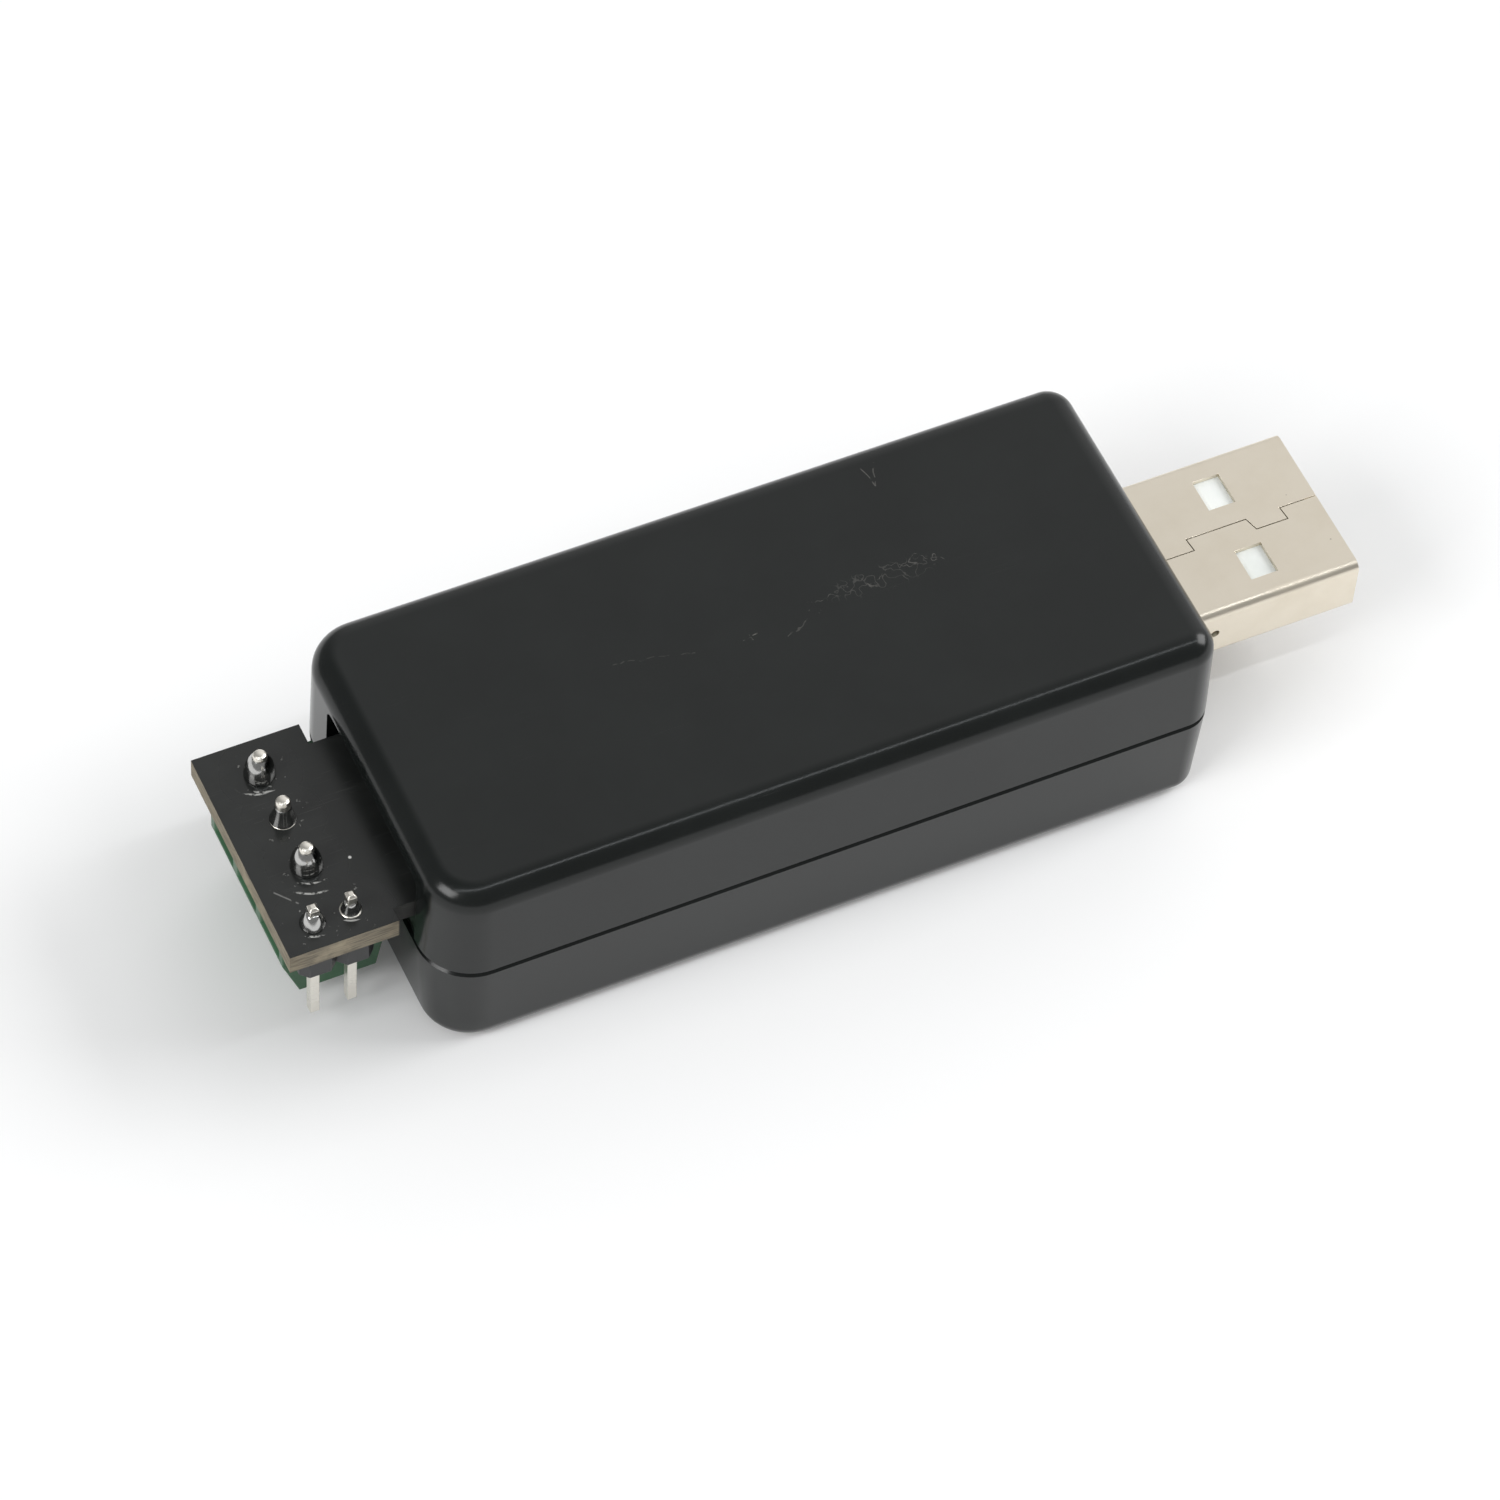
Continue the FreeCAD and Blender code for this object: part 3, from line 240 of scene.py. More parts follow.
def build_grain(bench: Bench, given: dict[str, Socket]) -> dict[str, Socket]:
    """Moulded grain: a fine relief in metres, and a broad cloud from 0 to 1."""
    fine = bench.noise(given["Place"], given["Grain"], detail=3.0)
    ripple = bench.noise(given["Place"], bench.times(given["Grain"], 9.0), detail=1.0)
    relief = bench.plus(fine, bench.times(ripple, 2.5))
    cloud = bench.noise(given["Place"], given["Cloud"], detail=4.0, rough=0.6)
    return {"Height": bench.times(relief, given["Depth"]), "Cloud": cloud}


def build_specks(bench: Bench, given: dict[str, Socket]) -> dict[str, Socket]:
    """Sparse round specks, as dust or pits: a mask."""
    cells = bench.add(
        "ShaderNodeTexVoronoi",
        {"Vector": given["Place"], "Scale": bench.math("DIVIDE", 1.0, given["Spacing"])},
    )
    chosen = bench.add("ShaderNodeSeparateColor", {0: cells.outputs["Color"]})
    size = bench.times(given["Size"], bench.plus(0.4, chosen.outputs[1]))
    reach = bench.math("DIVIDE", size, given["Spacing"])
    dot = bench.fade(cells.outputs["Distance"], reach, bench.times(reach, 0.4))
    kept = bench.math("LESS_THAN", chosen.outputs[0], given["Share"])
    return {"Mask": bench.times(dot, kept)}


def build_scratches(bench: Bench, given: dict[str, Socket]) -> dict[str, Socket]:
    """Hairline scratches in three directions, gathered in patches: a mask."""
    total: Any = 0.0
    for turn, limit in ((0.35, 0.745), (1.25, 0.755), (2.6, 0.75)):
        streaks = bench.stretched(given["Place"], turn, 4.5 * MM, 0.045 * MM)
        total = bench.math("MAXIMUM", total, bench.fade(streaks, limit - 0.02, limit + 0.03))
    patches = bench.fade(bench.noise(given["Place"], 6 * MM), 0.52, 0.66)
    return {"Mask": bench.times(total, patches, given["Amount"])}


def build_edges(bench: Bench, given: dict[str, Socket]) -> dict[str, Socket]:
    """Outer edges that hands have rubbed: a mask, broken up by noise."""
    rounded = bench.add("ShaderNodeBevel", {"Radius": given["Radius"]}, samples=4).outputs[0]
    flat = bench.add("ShaderNodeNewGeometry").outputs["True Normal"]
    turn = bench.vector("DOT_PRODUCT", rounded, flat)
    edge = bench.fade(turn, 0.995, 0.8)
    broken = bench.fade(bench.noise(given["Place"], 0.6 * MM, detail=4.0), 0.38, 0.62)
    return {"Mask": bench.times(edge, broken)}


GRAIN = ShaderGroup(
    "moulded_grain",
    {
        "Place": (VECTOR, ORIGIN),
        "Grain": (FLOAT, 0.3 * MM),
        "Depth": (FLOAT, 0.001 * MM),
        "Cloud": (FLOAT, 6 * MM),
    },
    build_grain,
)
SPECKS = ShaderGroup(
    "sparse_specks",
    {
        "Place": (VECTOR, ORIGIN),
        "Spacing": (FLOAT, 2 * MM),
        "Size": (FLOAT, 0.06 * MM),
        "Share": (FLOAT, 0.3),
    },
    build_specks,
)
SCRATCHES = ShaderGroup(
    "hairline_scratches", {"Place": (VECTOR, ORIGIN), "Amount": (FLOAT, 1.0)}, build_scratches
)
EDGES = ShaderGroup(
    "rubbed_edges", {"Place": (VECTOR, ORIGIN), "Radius": (FLOAT, 0.15 * MM)}, build_edges
)


# ---------------------------------------------------------------------------------------------
# finishes
# ---------------------------------------------------------------------------------------------


@dataclass
class Surface:
    """What a finish works out over the surface before it reaches the shader."""

    colour: Any
    roughness: Any
    height: Any


@dataclass(frozen=True)
class Finish:
    """A procedural finish. Each kind works out its surface and sets its shader's constants."""

    name: str
    colour: Colour
    roughness: float = 0.4

    def surface(self, bench: Bench, place: Socket) -> Surface:
        """The colour, roughness and relief over the surface."""
        raise NotImplementedError

    def constants(self) -> dict[str, Any]:
        """What is set on the shader's own sockets."""
        return {}

    def material(self) -> bpy.types.Material:
        """The material, made on first use."""
        found = bpy.data.materials.get(self.name + "_finish")
        if found:
            return found
        material = bpy.data.materials.new(self.name + "_finish")
        material.use_nodes = True
        tree = material.node_tree
        tree.nodes.clear()
        bench = Bench(tree)
        place = bench.add("ShaderNodeTexCoord").outputs["Object"]
        work = self.surface(bench, place)
        bump = bench.add("ShaderNodeBump", {"Strength": 1.0, "Distance": 1.0, "Height": work.height})
        shader = bench.add(
            "ShaderNodeBsdfPrincipled",
            {"Roughness": work.roughness, "Normal": bump.outputs[0], **self.constants()},
        )
        tree.links.new(work.colour, shader.inputs["Base Color"])
        bench.add("ShaderNodeOutputMaterial", {"Surface": shader.outputs[0]})
        material.diffuse_color = rgba(self.colour)
        return material


@dataclass(frozen=True)
class MouldedPlastic(Finish):
    """Injection-moulded plastic: fine grain, a cloudy gloss, rubbed edges and a little dust."""

    worn: Colour = (0.05, 0.05, 0.05)
    dusty: Colour = (0.3, 0.3, 0.28)
    ior: float = 1.42
    grain: float = 0.3 * MM
    depth: float = 0.0008 * MM
    dust_share: float = 0.1
    glow: float = 0.0

    def constants(self) -> dict[str, Any]:
        """Index of refraction, and how far light travels inside."""
        return {
            "IOR": self.ior,
            "Subsurface Weight": self.glow,
            "Subsurface Radius": (1.0, 1.0, 1.0),
            "Subsurface Scale": 0.4 * MM,
        }

    def surface(self, bench: Bench, place: Socket) -> Surface:
        """Grain, cloud, worn edges, scratches and dust."""
        grain = GRAIN.place(bench, Place=place, Grain=self.grain, Depth=self.depth, Cloud=7 * MM)
        cloud = grain.outputs["Cloud"]
        edge = EDGES.place(bench, Place=place, Radius=0.12 * MM).outputs["Mask"]
        scratch = SCRATCHES.place(bench, Place=place, Amount=0.6).outputs["Mask"]
        dust = SPECKS.place(
            bench, Place=place, Spacing=2.2 * MM, Size=0.05 * MM, Share=self.dust_share
        ).outputs["Mask"]
        paler = tuple(channel * 1.3 + 0.0008 for channel in self.colour)
        colour = bench.mix(bench.fade(cloud, 0.3, 0.75), self.colour, paler)
        colour = bench.layers(
            colour, (edge, 0.5, self.worn), (scratch, 0.35, self.worn), (dust, 0.7, self.dusty)
        )
        gloss = bench.fade(cloud, 0.25, 0.8, self.roughness * 0.9, self.roughness * 1.12)
        rough = bench.plus(gloss, bench.times(edge, 0.12))
        rough = bench.plus(rough, bench.times(dust, 0.3))
        height = bench.math(
            "SUBTRACT", grain.outputs["Height"], bench.times(scratch, 0.002 * MM)
        )
        return Surface(colour, rough, height)


@dataclass(frozen=True)
class ScuffedCase(MouldedPlastic):
    """The case's black plastic, with the faint hair-like scuffs on its lid."""

    scuff: Colour = (0.14, 0.135, 0.125)
    lid_level: float = 15.6 * MM
    tangle: tuple[float, float] = (6.6 * MM, 1.3 * MM)
    tangle_long: float = 4.6 * MM
    tangle_wide: float = 1.15 * MM
    lines: tuple[tuple[float, float, float, float, float, float], ...] = (
        # from x, y to x, y, sway, strength; lengths in millimetres
        (-12.0, 1.7, -6.8, 0.45, 0.25, 0.22),
        (-3.6, 0.15, -2.5, 0.35, 0.05, 0.9),
        (-3.1, 0.55, -3.0, -0.05, 0.03, 0.6),
        (-0.8, -0.7, 0.9, 0.2, 0.25, 0.35),
        (1.2, 0.95, 11.0, 1.75, 0.9, 0.55),
        (9.5, 8.15, 9.25, 10.1, 0.12, 0.6),
        (9.5, 8.15, 10.1, 10.0, 0.12, 0.5),
    )

    def line(self, bench: Bench, place: Socket, row: tuple[float, ...], sway: Socket) -> Socket:
        """One wandering hairline on the lid.

        Args:
            bench: where its nodes go.
            place: the point on the surface.
            row: its ends, sway and strength.
            sway: noise from 0 to 1 that bends it.

        Returns:
            Its mask.
        """
        *ends, wander, strength = row
        bend = bench.times(bench.math("SUBTRACT", sway, 0.5), wander * 4 * MM)
        distance, within = bench.stroke(place, ends, bend)
        return bench.times(bench.fade(distance, 0.055 * MM, 0.02 * MM), within, strength)

    def surface(self, bench: Bench, place: Socket) -> Surface:
        """The moulded surface with scuffs over it, on the lid alone."""
        work = super().surface(bench, place)
        sway = bench.noise(place, 1.3 * MM, detail=2.0)
        broken = bench.fade(bench.noise(place, 0.5 * MM), 0.4, 0.58)
        marks: Any = 0.0
        for row in self.lines:
            marks = bench.math("MAXIMUM", marks, self.line(bench, place, row, sway))
        marks = bench.times(marks, broken)
        curls = bench.noise(place, 0.85 * MM, detail=1.5)
        curl = bench.fade(bench.math("ABSOLUTE", bench.math("SUBTRACT", curls, 0.5)), 0.02, 0.006)
        flat = bench.add(
            "ShaderNodeMapping",
            {
                "Vector": place,
                "Location": (-self.tangle[0] / self.tangle_long, -self.tangle[1] / self.tangle_wide, 0),
                "Scale": (1 / self.tangle_long, 1 / self.tangle_wide, 0),
            },
        ).outputs[0]
        reach = bench.fade(bench.vector("LENGTH", flat), 1.0, 0.55)
        tangle = bench.times(curl, reach, 0.3)
        height = bench.add("ShaderNodeSeparateXYZ", {0: place}).outputs["Z"]
        lid = bench.math("GREATER_THAN", height, self.lid_level)
        marks = bench.times(bench.math("MAXIMUM", marks, tangle), lid)
        work.colour = bench.mix(bench.times(marks, 0.85), work.colour, self.scuff)
        work.roughness = bench.plus(work.roughness, bench.times(marks, 0.25))
        work.height = bench.math("SUBTRACT", work.height, bench.times(marks, 0.003 * MM))
        return work


@dataclass(frozen=True)
class PlatedMetal(Finish):
    """Plated or bare metal: drawn streaks, a cloudy tarnish, small pits and handling scratches."""

    tarnish: Colour = (0.5, 0.5, 0.48)
    drawn: float = 0.0006 * MM
    pits: float = 0.25
    tarnish_share: float = 0.5
    grain: float = 0.25 * MM

    def constants(self) -> dict[str, Any]:
        """Metal all over."""
        return {"Metallic": 1.0}

    def surface(self, bench: Bench, place: Socket) -> Surface:
        """Streaks, tarnish, pits and scratches."""
        grain = GRAIN.place(
            bench, Place=place, Grain=self.grain, Depth=0.0002 * MM, Cloud=3.5 * MM
        )
        cloud = grain.outputs["Cloud"]
        streaks = bench.stretched(place, 0.0, 5 * MM, 0.07 * MM)
        pit = SPECKS.place(bench, Place=place, Spacing=1.1 * MM, Size=0.07 * MM, Share=self.pits)
        pit_mask = pit.outputs["Mask"]
        scratch = SCRATCHES.place(bench, Place=place, Amount=0.8).outputs["Mask"]
        stain = bench.times(bench.fade(cloud, 0.35, 0.8), self.tarnish_share)
        colour = bench.mix(stain, self.colour, self.tarnish)
        deep = tuple(channel * 0.35 for channel in self.tarnish)
        colour = bench.mix(bench.times(pit_mask, 0.55), colour, deep)
        rough = bench.fade(cloud, 0.2, 0.8, self.roughness * 0.88, self.roughness * 1.15)
        rough = bench.plus(rough, bench.times(streaks, self.roughness * 0.15))
        rough = bench.plus(rough, bench.times(scratch, 0.15))
        height = bench.plus(grain.outputs["Height"], bench.times(streaks, self.drawn))
        height = bench.math("SUBTRACT", height, bench.times(pit_mask, 0.004 * MM))
        return Surface(colour, rough, height)


@dataclass(frozen=True)
class CoatedBoard(Finish):
    """Glass-fibre board under a black mask: bare laminate at its outer edges with painted shade on the neck's
    edge inside the case, traces below, flux about the joints with a painted highlight on its ridges.
    """

    laminate: Colour = (0.24, 0.205, 0.14)
    resin: Colour = (0.12, 0.1, 0.066)
    residue: Colour = (0.19, 0.19, 0.18)
    joints: tuple[tuple[float, float], ...] = ()
    ridges: tuple[tuple[float, float, float], ...] = ()
    # the side, facing the camera, on which the flux ridges carry their painted highlight
    glint_way: Vector = Vector((-0.32, -0.95, 0))
    scratch_ends: tuple[float, float, float, float] = (-37.5, -3.4, -36.1, -5.1)
    speck: tuple[float, float] = (-31.9, -3.0)
    speck_white: Colour = (0.75, 0.75, 0.72)
    # the colour of the painted highlight on the flux ridges
    ridge_glint_white: Colour = (0.5, 0.5, 0.48)
    scratched: Colour = (0.28, 0.28, 0.27)
    tongue_root: float = -30.0 * MM
    # the span in x over which the painted shade on the neck's cut edge sets in
    neck_shade_span: tuple[float, float] = (-31.0 * MM, -30.85 * MM)

    def constants(self) -> dict[str, Any]:
        """The mask's gloss."""
        return {"IOR": 1.47}

    def distance(self, bench: Bench, place: Socket, centres: Iterable[tuple[float, float]]) -> Socket:
        """How far a point is from the nearest of those upright lines, given in millimetres."""
        level = bench.vector("MULTIPLY", place, (1.0, 1.0, 0.0))
        nearest: Any = 1.0
        for x, y in centres:
            here = bench.vector("DISTANCE", level, (x * MM, y * MM, 0.0))
            nearest = bench.math("MINIMUM", nearest, here)
        return nearest

    def glint_arcs(self, bench: Bench, place: Socket) -> Socket:
        """Short curved ridges of flux before the joints, on their side facing the camera, where the painted
        highlight goes: a mask.
        """
        level = bench.vector("MULTIPLY", place, (1.0, 1.0, 0.0))
        total: Any = 0.0
        for x, y, radius in self.ridges:
            offset = bench.vector("SUBTRACT", level, (x * MM, y * MM, 0.0))
            reach = bench.vector("LENGTH", offset)
            ahead = bench.vector("DOT_PRODUCT", offset, self.glint_way)
            miss = bench.math("ABSOLUTE", bench.math("SUBTRACT", reach, radius * MM))
            line = bench.fade(miss, 0.11 * MM, 0.04 * MM)
            span = bench.fade(ahead, 0.9 * radius * MM, 0.96 * radius * MM)
            total = bench.math("MAXIMUM", total, bench.times(line, span))
        return bench.times(total, bench.fade(bench.noise(place, 0.3 * MM), 0.36, 0.5))

    def surface(self, bench: Bench, place: Socket) -> Surface:
        """The mask on both faces, and the cut laminate between them, with painted shade on the cut edge inside
        the case.
        """
        grain = GRAIN.place(bench, Place=place, Grain=0.22 * MM, Depth=0.0012 * MM, Cloud=3 * MM)
        cloud = grain.outputs["Cloud"]
        facing = bench.add("ShaderNodeNewGeometry").outputs["True Normal"]
        upright = bench.math("ABSOLUTE", bench.add("ShaderNodeSeparateXYZ", {0: facing}).outputs["Z"])
        cut = bench.math("LESS_THAN", upright, 0.5)
        scratch = SCRATCHES.place(bench, Place=place, Amount=0.9).outputs["Mask"]
        dust = SPECKS.place(bench, Place=place, Spacing=1.5 * MM, Size=0.045 * MM, Share=0.16)
        # traces under the mask
        xyz = bench.add("ShaderNodeSeparateXYZ", {0: place})
        lanes = bench.math("PINGPONG", bench.plus(xyz.outputs["Y"], 40 * MM), 0.95 * MM)
        used = bench.fade(bench.stretched(place, 0.0, 9 * MM, 2.6 * MM), 0.5, 0.53)
        used = bench.times(used, bench.math("GREATER_THAN", xyz.outputs["X"], self.tongue_root))
        trace = bench.times(bench.fade(lanes, 0.3 * MM, 0.24 * MM), used)
        # flux about the joints, in broken crescents
        near = self.distance(bench, place, self.joints)
        blot = bench.noise(place, 0.42 * MM, detail=2.0)
        band = bench.times(
            bench.fade(near, 2.1 * MM, 1.5 * MM), bench.fade(near, 0.8 * MM, 1.1 * MM)
        )
        flux = bench.times(band, bench.fade(blot, 0.66, 0.72))
        wet = bench.fade(near, 3.0 * MM, 2.0 * MM)
        # painted highlight: bright glints painted on the flux ridges facing the camera; the ridges' rise in the
        # relief is real
        ridge = self.glint_arcs(bench, place)
        side, within = bench.stroke(place, self.scratch_ends)
        nick = bench.times(
            bench.fade(side, 0.07 * MM, 0.03 * MM), bench.fade(blot, 0.42, 0.5), within
        )
        speck = bench.fade(self.distance(bench, place, [self.speck]), 0.13 * MM, 0.08 * MM)
        paler = tuple(channel * 1.35 for channel in self.colour)
        mask = bench.mix(bench.fade(cloud, 0.3, 0.7), self.colour, paler)
        mask = bench.layers(
            mask,
            (trace, 0.3, tuple(channel * 1.8 for channel in self.colour)),
            (scratch, 0.3, self.residue),
            (flux, 0.75, self.residue),
            (ridge, 0.8, self.ridge_glint_white),
            (nick, 0.5, self.scratched),
            (dust.outputs["Mask"], 0.5, self.residue),
        )
        mask = bench.mix(speck, mask, self.speck_white)
        # plies and cut fibres along the edge
        plies = bench.add(
            "ShaderNodeMapping", {"Vector": place, "Scale": (1 / (1.2 * MM), 1 / (1.2 * MM), 1 / (0.1 * MM))}
        ).outputs[0]
        fibre = bench.add("ShaderNodeTexNoise", {"Vector": plies, "Scale": 1.0, "Detail": 3.0}).outputs["Fac"]
        edge = bench.mix(bench.fade(fibre, 0.35, 0.65), self.resin, self.laminate)
        edge = bench.mix(bench.fade(cloud, 0.55, 0.8), edge, tuple(c * 1.5 for c in self.laminate))
        # painted shade: from the tongue's step into the case the cut edge takes the dark mask colour in place
        # of the laminate, standing for the shade there
        inside = bench.fade(xyz.outputs["X"], *self.neck_shade_span)
        edge = bench.mix(bench.times(inside, 0.97), edge, self.colour)
        colour = bench.mix(cut, mask, edge)
        gloss = bench.fade(cloud, 0.2, 0.8, self.roughness * 0.9, self.roughness * 1.15)
        gloss = bench.math("SUBTRACT", gloss, bench.times(wet, self.roughness * 0.5))
        rough = bench.plus(gloss, bench.times(cut, 0.35))
        relief = grain.outputs["Height"]
        for layer, rise in (
            (trace, 0.012 * MM), (flux, 0.03 * MM), (ridge, 0.05 * MM), (bench.times(fibre, cut), 0.02 * MM)
        ):
            relief = bench.plus(relief, bench.times(layer, rise))
        return Surface(colour, rough, relief)


@dataclass(frozen=True)
class FiredCeramic(Finish):
    """Fired or pressed body of a small part: fine grains, chips and a chalky cloud."""

    second: Colour = (0.5, 0.5, 0.5)
    grain: float = 0.06 * MM

    def surface(self, bench: Bench, place: Socket) -> Surface:
        """Grains and cloud."""
        grain = GRAIN.place(bench, Place=place, Grain=self.grain, Depth=0.002 * MM, Cloud=0.5 * MM)
        pits = SPECKS.place(bench, Place=place, Spacing=0.3 * MM, Size=0.03 * MM, Share=0.5).outputs["Mask"]
        colour = bench.mix(bench.fade(grain.outputs["Cloud"], 0.3, 0.7), self.colour, self.second)
        colour = bench.mix(bench.times(pits, 0.5), colour, tuple(c * 0.5 for c in self.colour))
        rough = bench.fade(grain.outputs["Cloud"], 0.2, 0.8, self.roughness * 0.85, self.roughness * 1.1)
        height = bench.math("SUBTRACT", grain.outputs["Height"], bench.times(pits, 0.005 * MM))
        return Surface(colour, rough, height)


THROUGH_JOINTS = ((-34.61, 5.13), (-34.61, 1.32), (-34.61, -2.49), (-35.9, -6.63), (-33.36, -6.63))
# ridges of flux, each with a real rise and a painted highlight on its side facing the camera: centre of the arc
# and its radius, in millimetres
FLUX_GLINT_RIDGES = (
    (-34.5, 5.1, 1.5), (-34.9, 5.2, 1.62), (-34.5, -2.4, 1.55), (-34.4, -2.4, 2.35),
    (-35.8, -6.5, 1.25), (-33.3, -6.5, 1.0),
)

FINISHES: dict[str, Finish] = {
    finish.name: finish
    for finish in (
        ScuffedCase("case_plastic", (0.0046, 0.0060, 0.0056), 0.2, ior=1.42, grain=0.4 * MM,
                    depth=0.0006 * MM, dust_share=0.035, worn=(0.03, 0.03, 0.03)),
        CoatedBoard("board_mask", (0.0125, 0.0137, 0.013), 0.3, joints=THROUGH_JOINTS, ridges=FLUX_GLINT_RIDGES),
        PlatedMetal("plug_nickel", (0.8, 0.735, 0.62), 0.33, tarnish=(0.71, 0.64, 0.52), pits=0.14),
        MouldedPlastic("white_plastic", (0.78, 0.81, 0.78), 0.4, worn=(0.8, 0.8, 0.78),
                       dusty=(0.5, 0.5, 0.48), ior=1.5, glow=0.25),
        PlatedMetal("contact_gold", (0.82, 0.68, 0.42), 0.28, tarnish=(0.7, 0.56, 0.34), pits=0.08),
        PlatedMetal("solder", (0.5, 0.5, 0.49), 0.13, tarnish=(0.37, 0.37, 0.36), pits=0.04,
                    drawn=0.0, grain=0.35 * MM),
        MouldedPlastic("terminal_green", (0.02, 0.085, 0.034), 0.36, worn=(0.06, 0.2, 0.08),
                       dusty=(0.3, 0.4, 0.3), ior=1.5, glow=0.05),
        PlatedMetal("screw_steel", (0.66, 0.66, 0.65), 0.24, tarnish=(0.48, 0.47, 0.45), pits=0.2),
        PlatedMetal("clamp_nickel", (0.7, 0.68, 0.63), 0.28, tarnish=(0.56, 0.54, 0.49), pits=0.2),
        PlatedMetal("pin_tin", (0.86, 0.83, 0.76), 0.26, tarnish=(0.74, 0.7, 0.62), pits=0.1),
        MouldedPlastic("black_plastic", (0.016, 0.017, 0.018), 0.42, worn=(0.06, 0.06, 0.06), ior=1.5),
        MouldedPlastic("chip_epoxy", (0.018, 0.018, 0.019), 0.55, worn=(0.07, 0.07, 0.07),
                       grain=0.06 * MM, depth=0.002 * MM),
        PlatedMetal("crystal_can", (0.72, 0.71, 0.69), 0.22, tarnish=(0.6, 0.59, 0.56), pits=0.1),
        MouldedPlastic("lamp_lens", (0.72, 0.76, 0.66), 0.22, worn=(0.8, 0.8, 0.75), glow=0.4),
        FiredCeramic("ceramic_tan", (0.42, 0.3, 0.17), 0.5, second=(0.5, 0.37, 0.22)),
        FiredCeramic("resistor_black", (0.02, 0.02, 0.022), 0.4, second=(0.035, 0.035, 0.038)),
        FiredCeramic("fuse_green", (0.03, 0.13, 0.06), 0.45, second=(0.045, 0.18, 0.085)),
    )
}


# ---------------------------------------------------------------------------------------------
# meshes
# ---------------------------------------------------------------------------------------------


def new_object(name: str, mesh: bpy.types.Mesh) -> bpy.types.Object:
    """An object for the mesh, in the scene."""
    mesh.name = name
    piece = bpy.data.objects.new(name, mesh)
    bpy.context.scene.collection.objects.link(piece)
    return piece


def settle(piece: bpy.types.Object) -> bpy.types.Object:
    """Turns a piece with modifiers into the plain mesh that they give."""
    graph = bpy.context.evaluated_depsgraph_get()
    graph.update()
    mesh = bpy.data.meshes.new_from_object(
        piece.evaluated_get(graph), preserve_all_data_layers=True, depsgraph=graph
    )
    piece.modifiers.clear()
    old = piece.data
    piece.data = mesh
    bpy.data.meshes.remove(old)
    mesh.name = piece.name
    return piece


def soften(piece: bpy.types.Object, width: float, segments: int = 2) -> None:
    """Adds a narrow bevel on the sharp outer edges, and normals that keep the flats flat.

    Args:
        piece: the object.
        width: the bevel's width in metres, or 0 for none.
        segments: how many facets the bevel has.
    """
    if width > 0:
        bevel = piece.modifiers.new("edge", "BEVEL")
        bevel.width = width
        bevel.segments = segments
        bevel.limit_method = "WEIGHT"
        bevel.use_clamp_overlap = True
    normals = piece.modifiers.new("normals", "WEIGHTED_NORMAL")
    normals.keep_sharp = True
    normals.weight = FLAT_WEIGHT


def merged(node: str, sharp: float = SHARP_TURN) -> bmesh.types.BMesh:
    """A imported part's surface with its triangles joined and its flats made whole.

    Args:
        node: the part.
        sharp: the turn in degrees from which an edge is shaded sharp.

    Returns:
        The mesh, which the caller frees.
    """
    bm = bmesh.new()
    bm.from_mesh(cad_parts[node].data)
    bmesh.ops.remove_doubles(bm, verts=bm.verts, dist=JOINED)
    bmesh.ops.dissolve_limit(bm, angle_limit=math.radians(FLAT_TURN), verts=bm.verts, edges=bm.edges)
    for face in bm.faces:
        face.smooth = True
    weights = bm.edges.layers.float.new("bevel_weight_edge")
    for edge in bm.edges:
        turn = edge.calc_face_angle(0.0)
        edge.smooth = turn < math.radians(sharp)
        edge[weights] = float(turn > math.radians(BEVELLED_TURN) and edge.is_convex)
    return bm


def to_piece(name: str, bm: bmesh.types.BMesh) -> bpy.types.Object:
    """Makes an object of the mesh and frees it."""
    mesh = bpy.data.meshes.new(name)
    bm.to_mesh(mesh)
    bm.free()
    stored = mesh.attributes.get("custom_normal")
    if stored:
        mesh.attributes.remove(stored)
    return new_object(name, mesh)


def refine(
    node: str, name: str, width: float = 0.0, segments: int = 2, sharp: float = SHARP_TURN
) -> bpy.types.Object:
    """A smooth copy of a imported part, with its edges broken.

    Args:
        node: the part.
        name: the new piece's name.
        width: the width of the broken edge in metres.
        segments: how many facets that edge has.
        sharp: the turn in degrees from which an edge is shaded sharp.

    Returns:
        The piece, as a plain mesh.
    """
    piece = to_piece(name, merged(node, sharp))
    soften(piece, width, segments)
    return settle(piece)


def dress(piece: bpy.types.Object, slot: str) -> None:
    """Gives the piece that slot's finish, alone."""
    piece.data.materials.clear()
    piece.data.materials.append(FINISHES[slot].material())


def report(piece: bpy.types.Object, slot: str, body: str, nodes: Iterable[str]) -> None:
    """Logs one finished piece."""
    stands = ", ".join(nodes) or "nothing"
    log.info("%s: %d faces, %s, on %s, for %s", piece.name, len(piece.data.polygons), slot, body, stands)


